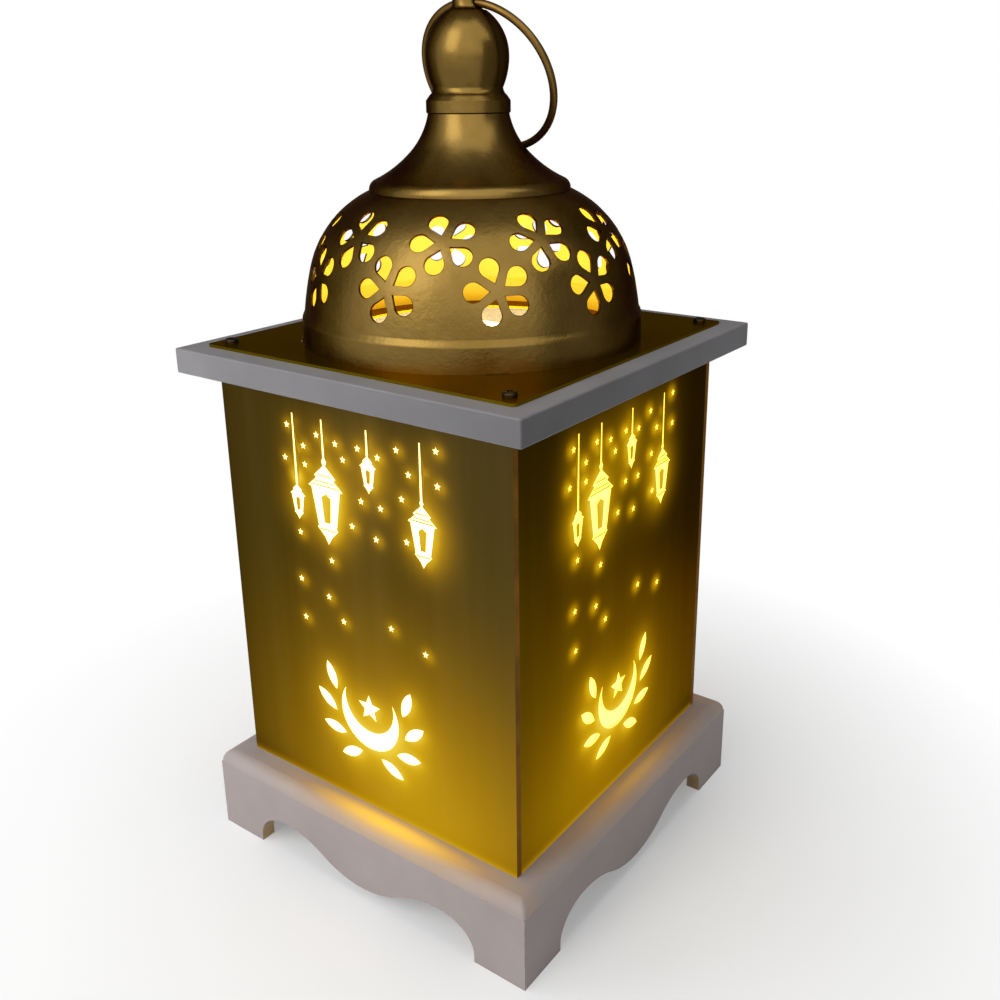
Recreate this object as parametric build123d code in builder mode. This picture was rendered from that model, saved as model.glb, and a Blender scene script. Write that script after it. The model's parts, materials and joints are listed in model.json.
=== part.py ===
"""Table lantern with a scalloped plinth, engraved light panels, a pierced dome and a hanging ring.

Millimetres, +Z up. The origin is at the middle of the footprint, on the surface the lantern stands on.
The front is -Y. Heights stack from the plinth to the finial, so each piece rests on the one below.
"""

import os
from math import acos, cos, degrees, radians, sin, sqrt

from build123d import *

os.makedirs("parts", exist_ok=True)

# Fits shared by all pieces
cut_overrun = 2.0
screw_clearance = 0.15
slide_clearance = 0.3
wire_clearance = 0.2

# Plinth: top board on four scalloped skirt boards
base_width = 179.0
base_height = 40.0
board_thickness = 6.0
board_round = 5.4
board_corner_round = 1.5
skirt_thickness = 7.0
foot_width = 25.5
foot_rise = 3.5
arch_run = 18.0
arch_height = 17.2
lobe_height = 5.1
block_leg = 17.0
block_height = 26.0

# Body: four engraved panels around corner posts, set in from the base board's edge
base_ledge = 12.1
panel_height = 187.6
panel_thickness = 3.0
post_width = 10.0
engrave_depth = 0.8

# Engraved ornament, sizes of its figures
star_points_count = 5
star_radius = 1.65
star_waist_share = 0.46
string_width = 1.0
string_head = 11.5
large_lantern = (19.6, 38.0)
middle_lantern = (14.6, 28.2)
small_lantern = (8.8, 17.0)
crescent_radius = 16.5
crescent_bite_share = 0.84
crescent_shift_share = 0.36
medal_star_radius = 6.4
leaf_length = 13.5
leaf_width = 5.0

# Tray over the panels and the gold sheet on it
tray_overhang = 12.6
tray_thickness = 10.8
tray_ledge = 11.4
tray_edge_round = 0.8
tray_rim = 9.5
plate_thickness = 1.2
plate_corner_round = 2.0
plate_lap = 14.0

# Screws: pan heads on the sheet, countersunk ones into the posts, pan heads under the battery box
plate_screw_head_radius = 2.8
plate_screw_head_height = 1.9
plate_screw_radius = 1.45
plate_screw_length = 8.0
recess_length = 3.2
recess_width = 0.8
recess_depth = 1.0
post_screw_head_radius = 2.9
post_screw_radius = 1.6
post_screw_grip = 14.0
box_screw_length = 4.6

# Dome: spun sheet with a straight band, a bead and a pierced shoulder
dome_margin = 6.5
dome_height = 61.6
dome_wall = 1.0
band_height = 9.8
band_foot = 2.0
band_lean = 0.4
bead_height = 3.0
bead_proud = 1.0
bead_step = 1.4
bead_nose_shares = (0.3, 0.6)
shoulder_rise = 30.4
shoulder_step = 5.2
side_bow = 0.25
crown_share = 0.581
tab_count = 4
tab_width = 8.0
tab_length = 6.0

# Pierced flowers in two staggered rows
flowers_per_row = 10
petals_per_flower = 5
row_phase = -115.7
upper_row_share = 0.455
petal_reach = 9.3
petal_tip = 3.2
petal_radius = 3.8
petal_facets = 12
petal_cut = 18.0
petal_cut_rise = 5.0

# Neck: concave spun flare between dome and finial
neck_height = 30.8
neck_radius = 16.9
neck_lean = 0.2
neck_lip_step = 0.5
neck_lip_height = 2.3
neck_lip_round = 1.5
neck_wall = 1.0
neck_bend_shares = (0.30, 0.513)

# Finial: turned collar, cove, bulb and stem
collar_radius = 17.5
collar_height = 5.1
collar_break = 0.5
collar_slope = 2.2
cove_radius = 15.9
cove_height = 2.9
bulb_foot_radius = 14.5
bulb_radius = 17.1
bulb_height = 29.5
bulb_swell_share = 0.417
bulb_top_radius = 8.2
stem_radius = 5.6
stem_flare = 2.6
stem_height = 13.0
stem_round = 2.6
stud_radius = 2.5
stud_depth = 13.0
stud_tail = 3.0
washer_radius = 7.5
washer_thickness = 1.2
nut_width = 8.0
nut_height = 4.0
nut_sides = 6

# Ring that hangs in the stem's cross hole and leans back on the neck
ring_radius = 31.9
ring_wire_radius = 1.6
ring_hole_radius = 2.4
ring_hole_rise = 2.8
ring_lean = 64.4

# Light board on the base board
light_board_radius = 32.0
light_board_thickness = 1.6
standoff_height = 6.0
standoff_radius = 3.0
standoff_circle = 25.0
standoff_count = 4
chip_count = 12
chip_circle = 27.0
chip_size = 5.0
chip_height = 1.4

# Battery box under the base board, with its sliding cover
cell_radius = 7.1
cell_length = 49.2
cell_nub_radius = 2.75
cell_nub_length = 1.3
cell_pitch = 15.0
cell_count = 3
box_end_room = 5.2
box_wall = 1.5
box_head_room = 1.6
box_shift = -29.0
cover_thickness = 1.7
lip_width = 2.0
lip_thickness = 1.2
lug_length = 10.0
lug_reach = 8.0
lug_thickness = 2.5
grip_rib_width = 1.2
grip_rib_height = 0.7
grip_rib_length = 18.0
grip_rib_pitch = 3.0
grip_rib_count = 4
contact_thickness = 0.5
contact_width = 9.0

# Slide switch beside the box
switch_shift = 38.0
switch_length = 14.0
switch_width = 7.0
switch_height = 6.0
switch_wall = 1.2
knob_length = 4.0
knob_width = 2.6
knob_drop = 3.6
knob_flange = 0.7
knob_round = 0.5
switch_travel = 3.0

# Leads
lead_radius = 0.8
lead_bend = 5.0
lead_depth = 5.0
lead_hole_radius = 2.2
supply_hole_x = 58.0
return_hole_x = 44.0
return_lead_y = -14.0

# Heights that the stack gives
board_bottom = base_height - board_thickness
panel_top = base_height + panel_height
tray_top = panel_top + tray_thickness
plate_top = tray_top + plate_thickness
dome_top = plate_top + dome_height
neck_top = dome_top + neck_height
bulb_bottom = neck_top + collar_height + collar_slope + cove_height
bulb_top = bulb_bottom + bulb_height
stem_top = bulb_top + stem_height
ring_hole_z = bulb_top + ring_hole_rise

# Widths that follow from the base, from the body up to the neck's lip
body_width = base_width - 2 * base_ledge
tray_width = body_width + 2 * tray_overhang
tray_window = body_width - 2 * tray_ledge
plate_width = tray_width - 2 * tray_rim
dome_radius = plate_width / 2 - dome_margin
plate_opening_radius = dome_radius - plate_lap
shoulder_radius = dome_radius - shoulder_step
crown_radius = dome_radius * crown_share
neck_lip_radius = crown_radius - neck_lip_step

# Half sizes that many pieces share
base_half = base_width / 2
body_half = body_width / 2
panel_inner = body_half - panel_thickness
post_centre = panel_inner - post_width / 2
plate_screw_place = (tray_window / 2 + plate_width / 2) / 2

# Battery box sizes that follow from the cells
cell_span = cell_length + cell_nub_length
box_length = cell_span + 2 * (box_end_room + box_wall)
box_width = cell_count * cell_pitch + 2 * box_wall
cover_top = board_bottom - box_wall - box_head_room - 2 * cell_radius - slide_clearance
cover_bottom = cover_top - cover_thickness
lip_top_z = cover_bottom - slide_clearance
box_bottom = lip_top_z - lip_thickness
box_start = box_shift - box_length / 2
box_end = box_shift + box_length / 2
cavity_width = box_width - 2 * box_wall
cell_axis_z = cover_top + slide_clearance + cell_radius
lug_y = box_width / 2 + lug_reach / 2

side_turns = {"front": 0, "right": 90, "back": 180, "left": 270}
corner_turns = {"front_right": 0, "back_right": 90, "back_left": 180, "front_left": 270}


def turned(turn):
    """Ground plane turned about the lantern's axis, so one side's drawing serves all four."""
    return Plane.XY.rotated((0, 0, turn))


def side_plane(turn, reach, height):
    """Upright plane facing outward on one side: x to the right, y up, seen from outside."""
    outward = (sin(radians(turn)), -cos(radians(turn)), 0)
    along = (cos(radians(turn)), sin(radians(turn)), 0)
    origin = (outward[0] * reach, outward[1] * reach, height)
    return Plane(origin=origin, x_dir=along, z_dir=outward)


def save(piece, name):
    """Label one finished sub-part and write it."""
    piece.label = name
    export_step(piece, f"parts/{name}.step")


# Base board, with holes for the leads and for the screws into the posts
with BuildPart() as base_top:
    with BuildSketch(Plane.XY.offset(board_bottom)):
        RectangleRounded(base_width, base_width, board_corner_round)
    extrude(amount=board_thickness)
    fillet(base_top.faces().sort_by(Axis.Z)[-1].edges(), board_round)
    with BuildSketch(Plane.XY.offset(board_bottom)):
        with Locations((supply_hole_x, 0), (return_hole_x, return_lead_y)):
            Circle(lead_hole_radius)
        with GridLocations(2 * post_centre, 2 * post_centre, 2, 2):
            Circle(post_screw_radius + screw_clearance)
    extrude(amount=board_thickness, mode=Mode.SUBTRACT)
    with BuildSketch(Plane.XY.offset(board_bottom)):
        with Locations((box_shift, lug_y), (box_shift, -lug_y)):
            Circle(plate_screw_radius + screw_clearance)
    extrude(amount=box_screw_length + screw_clearance, mode=Mode.SUBTRACT)
save(base_top.part, "base_top")

# Skirt boards: mitred planks whose lower edge is a foot, an arch and a shallow lobe
arch_foot = base_half - foot_width
arch_peak = arch_foot - arch_run
arch_side_rise = arch_height - foot_rise
wave_middle = (arch_peak / 2, (arch_height + lobe_height) / 2)

for side, turn in side_turns.items():
    with BuildPart() as skirt:
        with BuildSketch(turned(turn)):
            Polygon(
                (-base_half, -base_half),
                (base_half, -base_half),
                (base_half - skirt_thickness, skirt_thickness - base_half),
                (skirt_thickness - base_half, skirt_thickness - base_half),
                align=None,
            )
        extrude(amount=board_bottom)
        with BuildSketch(side_plane(turn, base_half + cut_overrun, 0)):
            with BuildLine():
                foot_edge = Line((arch_foot, -cut_overrun), (arch_foot, foot_rise))
                EllipticalCenterArc((arch_peak, foot_rise), arch_run, arch_side_rise, 0, arc_size=90)
                falling = TangentArc((arch_peak, arch_height), wave_middle, tangent=(-1, 0))
                TangentArc(wave_middle, (0, lobe_height), tangent=falling % 1)
                Line((0, lobe_height), (0, -cut_overrun))
                Line((0, -cut_overrun), foot_edge @ 0)
            make_face()
            mirror(about=Plane.YZ)
        extrude(amount=-(skirt_thickness + 2 * cut_overrun), mode=Mode.SUBTRACT)
    save(skirt.part, f"skirt_{side}")

# Glue blocks behind the mitres
block_corner = base_half - skirt_thickness
for corner, turn in corner_turns.items():
    with BuildPart() as block:
        with BuildSketch(turned(turn).offset(board_bottom)):
            Polygon(
                (block_corner, -block_corner),
                (block_corner, block_leg - block_corner),
                (block_corner - block_leg, -block_corner),
                align=None,
            )
        extrude(amount=-block_height)
    save(block.part, f"corner_block_{corner}")

# Engraved ornament: points are shares of the panel's half width and of its height
star_place_shares = (
    (-0.492, 0.909), (-0.525, 0.830), (-0.376, 0.868), (-0.374, 0.825), (-0.272, 0.901),
    (-0.137, 0.891), (-0.088, 0.859), (0.022, 0.893), (0.158, 0.884), (0.287, 0.911),
    (0.362, 0.864), (0.543, 0.929), (0.547, 0.855), (0.028, 0.775), (0.163, 0.771),
    (0.310, 0.806), (-0.047, 0.710), (-0.447, 0.657), (0.121, 0.696), (0.332, 0.712),
    (-0.217, 0.610), (-0.467, 0.539), (-0.258, 0.516), (-0.455, 0.442), (-0.156, 0.466),
    (0.196, 0.493), (0.429, 0.461),
)
lantern_tip_shares = {
    "small_left": (-0.447, 0.688, small_lantern),
    "large": (-0.230, 0.647, large_lantern),
    "small_middle": (0.087, 0.797, small_lantern),
    "middle": (0.440, 0.664, middle_lantern),
}
lantern_edge_shares = (
    (0.07, 1.0), (0.145, 0.965), (0.07, 0.915), (0.38, 0.845), (0.62, 0.79), (0.50, 0.765), (1.0, 0.66),
    (0.83, 0.645), (0.53, 0.21), (0.60, 0.185), (0.44, 0.148), (0.18, 0.08), (0.0, 0.0),
)
lantern_pane_shares = ((0.0, 0.595), (0.27, 0.55), (0.17, 0.255))
medal_centre_share = 0.245
medal_star_rise_share = 0.22
leaf_ring_share = 1.52
leaf_turns = (-62, -31, 0, 31)
leaf_tilt = 38


def star_points(radius):
    """Outline of a star, point up, about the origin."""
    points = []
    for step in range(2 * star_points_count):
        reach = radius if step % 2 == 0 else radius * star_waist_share
        angle = radians(90 + step * 180 / star_points_count)
        points.append((reach * cos(angle), reach * sin(angle)))
    return points


def lantern_points(size, shares):
    """Outline of a hanging lantern, mirrored about its string, with its tip at the origin."""
    half, height = size[0] / 2, size[1]
    right_side = [(x * half, y * height) for x, y in shares]
    left_side = [(-x, y) for x, y in reversed(right_side) if x > 0]
    return right_side + left_side


with BuildSketch() as leaf:
    leaf_sag = leaf_width / 2
    with BuildLine():
        SagittaArc((-leaf_length / 2, 0), (leaf_length / 2, 0), leaf_sag)
        SagittaArc((leaf_length / 2, 0), (-leaf_length / 2, 0), leaf_sag)
    make_face()

with BuildSketch() as medal:
    Circle(crescent_radius)
    with Locations((0, crescent_radius * crescent_shift_share)):
        Circle(crescent_radius * crescent_bite_share, mode=Mode.SUBTRACT)
    with Locations((0, crescent_radius * medal_star_rise_share)):
        Polygon(*star_points(medal_star_radius), align=None)
    leaf_reach = crescent_radius * leaf_ring_share
    for turn in leaf_turns:
        leaf_place = (leaf_reach * cos(radians(turn)), leaf_reach * sin(radians(turn)))
        with Locations(Location((*leaf_place, 0), (0, 0, turn + leaf_tilt))):
            add(leaf.sketch)
    for turn in leaf_turns:
        leaf_place = (-leaf_reach * cos(radians(turn)), leaf_reach * sin(radians(turn)))
        with Locations(Location((*leaf_place, 0), (0, 0, -turn - leaf_tilt))):
            add(leaf.sketch)

with BuildSketch() as ornament:
    for across_share, up_share in star_place_shares:
        with Locations((across_share * body_half, up_share * panel_height)):
            Polygon(*star_points(star_radius), align=None)
    for across_share, up_share, size in lantern_tip_shares.values():
        tip = (across_share * body_half, up_share * panel_height)
        string_foot = tip[1] + size[1]
        string_length = panel_height - string_head - string_foot
        with Locations(tip):
            Polygon(*lantern_points(size, lantern_edge_shares), align=None)
        with Locations((tip[0], string_foot + string_length / 2)):
            Rectangle(string_width, string_length + string_width)
        with Locations(tip):
            Polygon(*lantern_points(size, lantern_pane_shares), align=None, mode=Mode.SUBTRACT)
    with Locations((0, medal_centre_share * panel_height)):
        add(medal.sketch)

# Panels: front and back cover the edges of the side panels
for side, turn in side_turns.items():
    covers_edges = side in ("front", "back")
    panel_width = body_width if covers_edges else 2 * panel_inner
    face = side_plane(turn, body_half, base_height)
    with BuildPart() as panel:
        with BuildSketch(face):
            Rectangle(panel_width, panel_height, align=(Align.CENTER, Align.MIN))
        extrude(amount=-panel_thickness)
        with BuildSketch(face):
            add(ornament.sketch)
        extrude(amount=-engrave_depth, mode=Mode.SUBTRACT)
    save(panel.part, f"panel_{side}")

# Corner posts with a pilot hole at each end
pilot_radius = post_screw_radius + screw_clearance
pilot_depth = post_screw_grip + screw_clearance
for corner, turn in corner_turns.items():
    with BuildPart() as post:
        with BuildSketch(turned(turn).offset(base_height)):
            with Locations((post_centre, -post_centre)):
                Rectangle(post_width, post_width)
        extrude(amount=panel_height)
        for end in (base_height, panel_top - pilot_depth):
            with BuildSketch(turned(turn).offset(end)):
                with Locations((post_centre, -post_centre)):
                    Circle(pilot_radius)
            extrude(amount=pilot_depth, mode=Mode.SUBTRACT)
    save(post.part, f"post_{corner}")

# Tray: a frame with a square window, countersunk over the posts and drilled for the sheet's screws
with BuildPart() as tray:
    with BuildSketch(Plane.XY.offset(panel_top)):
        Rectangle(tray_width, tray_width)
        Rectangle(tray_window, tray_window, mode=Mode.SUBTRACT)
    extrude(amount=tray_thickness)
    outer_sides = tray.faces().filter_by(Plane.XY, reverse=True).group_by(SortBy.AREA)[-1]
    fillet(outer_sides.edges(), tray_edge_round)
    with Locations(Plane.XY.offset(tray_top)):
        with GridLocations(2 * post_centre, 2 * post_centre, 2, 2):
            CounterSinkHole(
                post_screw_radius + screw_clearance,
                post_screw_head_radius + screw_clearance,
                tray_thickness,
            )
        with GridLocations(2 * plate_screw_place, 2 * plate_screw_place, 2, 2):
            Hole(plate_screw_radius + screw_clearance, plate_screw_length)
save(tray.part, "tray")

# Gold sheet: round light opening, screw holes and slots for the dome's tabs
tab_middle = dome_radius - dome_wall / 2
with BuildPart() as top_plate:
    with BuildSketch(Plane.XY.offset(tray_top)):
        RectangleRounded(plate_width, plate_width, plate_corner_round)
        Circle(plate_opening_radius, mode=Mode.SUBTRACT)
        with GridLocations(2 * plate_screw_place, 2 * plate_screw_place, 2, 2):
            Circle(plate_screw_radius + screw_clearance, mode=Mode.SUBTRACT)
        with PolarLocations(tab_middle, tab_count, start_angle=45):
            Rectangle(
                dome_wall + 2 * slide_clearance, tab_width + 2 * slide_clearance, mode=Mode.SUBTRACT
            )
    extrude(amount=plate_thickness)
save(top_plate.part, "top_plate")

# Screws of the sheet: domed pan heads with a cross recess
with BuildPart() as plate_screws:
    with BuildSketch(Plane.XY.offset(plate_top)):
        with GridLocations(2 * plate_screw_place, 2 * plate_screw_place, 2, 2):
            Circle(plate_screw_head_radius)
    extrude(amount=plate_screw_head_height)
    head_rims = plate_screws.faces().group_by(Axis.Z)[-1].edges()
    fillet(head_rims, plate_screw_head_height / 2)
    with BuildSketch(Plane.XY.offset(plate_top)):
        with GridLocations(2 * plate_screw_place, 2 * plate_screw_place, 2, 2):
            Circle(plate_screw_radius)
    extrude(amount=-plate_screw_length)
    with BuildSketch(Plane.XY.offset(plate_top + plate_screw_head_height)):
        with GridLocations(2 * plate_screw_place, 2 * plate_screw_place, 2, 2):
            Rectangle(recess_length, recess_width)
            Rectangle(recess_width, recess_length)
    extrude(amount=-recess_depth, mode=Mode.SUBTRACT)
save(plate_screws.part, "plate_screws")

# Countersunk screws from the tray into the posts
post_head_depth = post_screw_head_radius - post_screw_radius
with BuildPart() as post_screws_top:
    with BuildSketch(Plane.XZ):
        Polygon(
            (0, tray_top),
            (post_screw_head_radius, tray_top),
            (post_screw_radius, tray_top - post_head_depth),
            (post_screw_radius, panel_top - post_screw_grip),
            (0, panel_top - post_screw_grip),
            align=None,
        )
    post_screw = revolve(axis=Axis.Z, mode=Mode.PRIVATE)
    with GridLocations(2 * post_centre, 2 * post_centre, 2, 2):
        add(post_screw)
save(post_screws_top.part, "post_screws_top")

# Pan-head screws from under the base board into the posts
with BuildPart() as post_screws_bottom:
    with BuildSketch(Plane.XY.offset(board_bottom)):
        with GridLocations(2 * post_centre, 2 * post_centre, 2, 2):
            Circle(post_screw_head_radius)
    extrude(amount=-plate_screw_head_height)
    with BuildSketch(Plane.XY.offset(board_bottom)):
        with GridLocations(2 * post_centre, 2 * post_centre, 2, 2):
            Circle(post_screw_radius)
    extrude(amount=board_thickness + post_screw_grip)
save(post_screws_bottom.part, "post_screws_bottom")

# Dome: outer profile from the band's foot up to the crown, then the lining one wall inside it
bead_foot = (dome_radius - band_lean, plate_top + band_height)
bead_top = (dome_radius - bead_step, bead_foot[1] + bead_height)
bead_nose = [
    (bead_foot[0] + bead_proud, bead_foot[1] + bead_height * share) for share in bead_nose_shares
]
shoulder_foot = (shoulder_radius, plate_top + shoulder_rise)
side_middle = ((bead_top[0] + shoulder_foot[0]) / 2 + side_bow, (bead_top[1] + shoulder_foot[1]) / 2)
stud_hole_radius = stud_radius + screw_clearance

with BuildLine() as dome_profile:
    Line((dome_radius, plate_top), (dome_radius, plate_top + band_foot))
    Line((dome_radius, plate_top + band_foot), bead_foot)
    Polyline(bead_foot, *bead_nose, bead_top)
    dome_side = ThreePointArc(bead_top, side_middle, shoulder_foot)
    shoulder = TangentArc(shoulder_foot, (crown_radius, dome_top), tangent=dome_side % 1)
    Line((crown_radius, dome_top), (stud_hole_radius, dome_top))


def inset(edge, share):
    """Point one dome wall inside the outer profile."""
    place = edge @ share
    along = edge % share
    return (place.X - dome_wall * along.Y, place.Y + dome_wall * along.X)


crown_edge = inset(shoulder, 1)
with BuildLine() as dome_lining:
    Polyline(
        (dome_radius, plate_top),
        (dome_radius - dome_wall, plate_top),
        (dome_radius - dome_wall, plate_top + band_foot),
        (bead_foot[0] - dome_wall, bead_foot[1]),
        *[(nose[0] - dome_wall, nose[1]) for nose in bead_nose],
        inset(dome_side, 0),
    )
    for edge in (dome_side, shoulder):
        ThreePointArc(inset(edge, 0), inset(edge, 1 / 2), inset(edge, 1))
    Polyline(
        crown_edge,
        (crown_edge[0] - dome_wall, dome_top - dome_wall),
        (stud_hole_radius, dome_top - dome_wall),
        (stud_hole_radius, dome_top),
    )

# One petal, pointing to the flower's centre: two straight sides and a round end of short facets
petal_open = 180 - degrees(acos(petal_radius / (petal_reach - petal_tip)))
petal_step = 2 * petal_open / petal_facets
petal_end = [
    (
        petal_reach + petal_radius * cos(radians(step * petal_step - petal_open)),
        petal_radius * sin(radians(step * petal_step - petal_open)),
    )
    for step in range(petal_facets + 1)
]
with BuildSketch() as petal:
    Polygon((petal_tip, 0), *petal_end, align=None)

with BuildSketch() as flower:
    with PolarLocations(0, petals_per_flower, start_angle=180 / petals_per_flower):
        add(petal.sketch)

# Each row: where it crosses the profile and how far it is turned
row_step = 360 / flowers_per_row
flower_rows = ((0, row_phase), (upper_row_share, row_phase + row_step / 2))

with BuildPart() as dome_shell:
    with BuildSketch(Plane.XZ):
        with BuildLine():
            add(dome_profile.line)
            add(dome_lining.line)
        make_face()
    revolve(axis=Axis.Z)
    for row_share, phase in flower_rows:
        place = shoulder @ row_share
        along = shoulder % row_share
        row_plane = Plane(
            origin=(place.X, 0, place.Y), x_dir=(0, 1, 0), z_dir=(along.Y, 0, -along.X)
        )
        with BuildSketch(row_plane.offset(petal_cut_rise)):
            add(flower.sketch)
        flower_cut = extrude(amount=-petal_cut, mode=Mode.PRIVATE)
        with PolarLocations(0, flowers_per_row, start_angle=phase):
            add(flower_cut, mode=Mode.SUBTRACT)
    with BuildSketch(Plane.XY.offset(tray_top - dome_wall)):
        with PolarLocations(tab_middle, tab_count, start_angle=45):
            Rectangle(dome_wall, tab_width)
    extrude(amount=plate_thickness + 2 * dome_wall)
    with BuildSketch(Plane.XY.offset(tray_top - dome_wall)):
        with PolarLocations(tab_middle - tab_length / 2, tab_count, start_angle=45):
            Rectangle(tab_length, tab_width)
    extrude(amount=dome_wall)
save(dome_shell.part, "dome_shell")

# Neck: lip on the crown, then a concave flare up to a flat seat for the finial
lip_top = dome_top + neck_lip_height
flare_foot = (neck_lip_radius - neck_lip_round, lip_top + neck_lip_round)
flare_bend = (
    neck_radius + (neck_lip_radius - neck_radius) * neck_bend_shares[0],
    dome_top + neck_height * neck_bend_shares[1],
)
with BuildPart() as neck_flare:
    with BuildSketch(Plane.XZ):
        with BuildLine():
            Line((stud_hole_radius, neck_top), (neck_radius, neck_top))
            upper_flare = TangentArc((neck_radius, neck_top), flare_bend, tangent=(neck_lean, -1))
            TangentArc(flare_bend, flare_foot, tangent=upper_flare % 1)
            TangentArc((neck_lip_radius, lip_top), flare_foot, tangent=(0, 1))
            Line((neck_lip_radius, lip_top), (neck_lip_radius, dome_top))
            offset(amount=neck_wall, side=Side.RIGHT)
        make_face()
    revolve(axis=Axis.Z)
save(neck_flare.part, "neck_flare")

# Finial: one turned profile, drilled for the stud from below and crosswise for the ring
collar_top = neck_top + collar_height
cove_bottom = collar_top + collar_slope
bulb_waist = (bulb_radius, bulb_bottom + bulb_height * bulb_swell_share)
stem_foot = (stem_radius, bulb_top + stem_flare)

with BuildPart() as finial:
    with BuildSketch(Plane.XZ):
        with BuildLine():
            Line((0, neck_top), (collar_radius - collar_break, neck_top))
            Line((collar_radius - collar_break, neck_top), (collar_radius, neck_top + collar_break))
            Line((collar_radius, neck_top + collar_break), (collar_radius, collar_top))
            Line((collar_radius, collar_top), (cove_radius, cove_bottom))
            TangentArc((bulb_foot_radius, bulb_bottom), (cove_radius, cove_bottom), tangent=(0, -1))
            TangentArc(bulb_waist, (bulb_foot_radius, bulb_bottom), tangent=(0, -1))
            TangentArc(bulb_waist, (bulb_top_radius, bulb_top), tangent=(0, 1))
            TangentArc(stem_foot, (bulb_top_radius, bulb_top), tangent=(0, -1))
            Line(stem_foot, (stem_radius, stem_top - stem_round))
            TangentArc(
                (stem_radius, stem_top - stem_round),
                (stem_radius - stem_round, stem_top),
                tangent=(0, 1),
            )
            Line((stem_radius - stem_round, stem_top), (0, stem_top))
            Line((0, stem_top), (0, neck_top))
        make_face()
    revolve(axis=Axis.Z)
    with BuildSketch(Plane.XY.offset(neck_top)):
        Circle(stud_hole_radius)
    extrude(amount=stud_depth + stud_tail, mode=Mode.SUBTRACT)
    with BuildSketch(Plane.YZ):
        with Locations((0, ring_hole_z)):
            Circle(ring_hole_radius)
    extrude(amount=collar_radius, both=True, mode=Mode.SUBTRACT)
save(finial.part, "finial")

# Stud, washer and nut that clamp finial, neck and dome together
crown_under = dome_top - dome_wall
washer_under = crown_under - washer_thickness
nut_under = washer_under - nut_height
with BuildPart() as finial_stud:
    with BuildSketch(Plane.XY.offset(nut_under - stud_tail)):
        Circle(stud_radius)
    extrude(amount=neck_top + stud_depth - nut_under + stud_tail)
save(finial_stud.part, "finial_stud")

with BuildPart() as stud_washer:
    with BuildSketch(Plane.XY.offset(washer_under)):
        Circle(washer_radius)
        Circle(stud_hole_radius, mode=Mode.SUBTRACT)
    extrude(amount=washer_thickness)
save(stud_washer.part, "stud_washer")

with BuildPart() as stud_nut:
    with BuildSketch(Plane.XY.offset(nut_under)):
        RegularPolygon(nut_width / 2, nut_sides, major_radius=False)
        Circle(stud_hole_radius, mode=Mode.SUBTRACT)
    extrude(amount=nut_height)
save(stud_nut.part, "stud_nut")

# Ring: a closed wire whose top passes the cross hole, leaning back until it nears the neck
stem_sagitta = ring_radius - sqrt(ring_radius**2 - stem_radius**2)
ring_drop = ring_radius - stem_sagitta / 2
lean_y = cos(radians(ring_lean))
lean_z = sin(radians(ring_lean))
with BuildPart() as hang_ring:
    ring_plane = Plane(
        origin=(0, ring_drop * lean_y, ring_hole_z - ring_drop * lean_z),
        x_dir=(1, 0, 0),
        z_dir=(0, lean_z, lean_y),
    )
    with BuildSketch(Plane(ring_plane.origin, x_dir=ring_plane.x_dir, z_dir=ring_plane.y_dir)):
        with Locations((ring_radius, 0)):
            Circle(ring_wire_radius)
    revolve(axis=Axis(ring_plane.origin, ring_plane.z_dir))
save(hang_ring.part, "hang_ring")

# Light board on standoffs, with its ring of light chips
light_board_bottom = base_height + standoff_height
light_board_top = light_board_bottom + light_board_thickness
with BuildPart() as led_standoffs:
    with BuildSketch(Plane.XY.offset(base_height)):
        with PolarLocations(standoff_circle, standoff_count, start_angle=45):
            Circle(standoff_radius)
    extrude(amount=standoff_height)
save(led_standoffs.part, "led_standoffs")

with BuildPart() as led_board:
    with BuildSketch(Plane.XY.offset(light_board_bottom)):
        Circle(light_board_radius)
    extrude(amount=light_board_thickness)
save(led_board.part, "led_board")

with BuildPart() as led_chips:
    with BuildSketch(Plane.XY.offset(light_board_top)):
        with PolarLocations(chip_circle, chip_count):
            Rectangle(chip_size, chip_size)
    extrude(amount=chip_height)
save(led_chips.part, "led_chips")

# Battery box: open below, side walls that run past the cover and hold it on two lips
with BuildPart() as battery_box:
    with BuildSketch(Plane.XY.offset(board_bottom)):
        with Locations((box_shift, 0)):
            Rectangle(box_length, box_width)
    extrude(amount=box_bottom - board_bottom)
    with BuildSketch(Plane.XY.offset(box_bottom)):
        with Locations((box_shift, 0)):
            Rectangle(box_length - 2 * box_wall, cavity_width)
    extrude(amount=board_bottom - box_wall - box_bottom, mode=Mode.SUBTRACT)
    with BuildSketch(Plane.XY.offset(box_bottom)):
        with Locations((box_end - box_wall, 0)):
            Rectangle(box_wall, cavity_width, align=(Align.MIN, Align.CENTER))
    extrude(amount=cover_top + slide_clearance - box_bottom, mode=Mode.SUBTRACT)
    with BuildSketch(Plane.XY.offset(box_bottom)):
        for lip_side in (-1, 1):
            with Locations((box_shift, lip_side * (cavity_width - lip_width) / 2)):
                Rectangle(box_length, lip_width)
    extrude(amount=lip_thickness)
    with BuildSketch(Plane.XY.offset(board_bottom)):
        with Locations((box_shift, lug_y), (box_shift, -lug_y)):
            Rectangle(lug_length, lug_reach)
    extrude(amount=-lug_thickness)
    with BuildSketch(Plane.XY.offset(board_bottom)):
        with Locations((box_shift, lug_y), (box_shift, -lug_y)):
            Circle(plate_screw_radius + screw_clearance)
    extrude(amount=-lug_thickness, mode=Mode.SUBTRACT)
save(battery_box.part, "battery_box")

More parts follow.
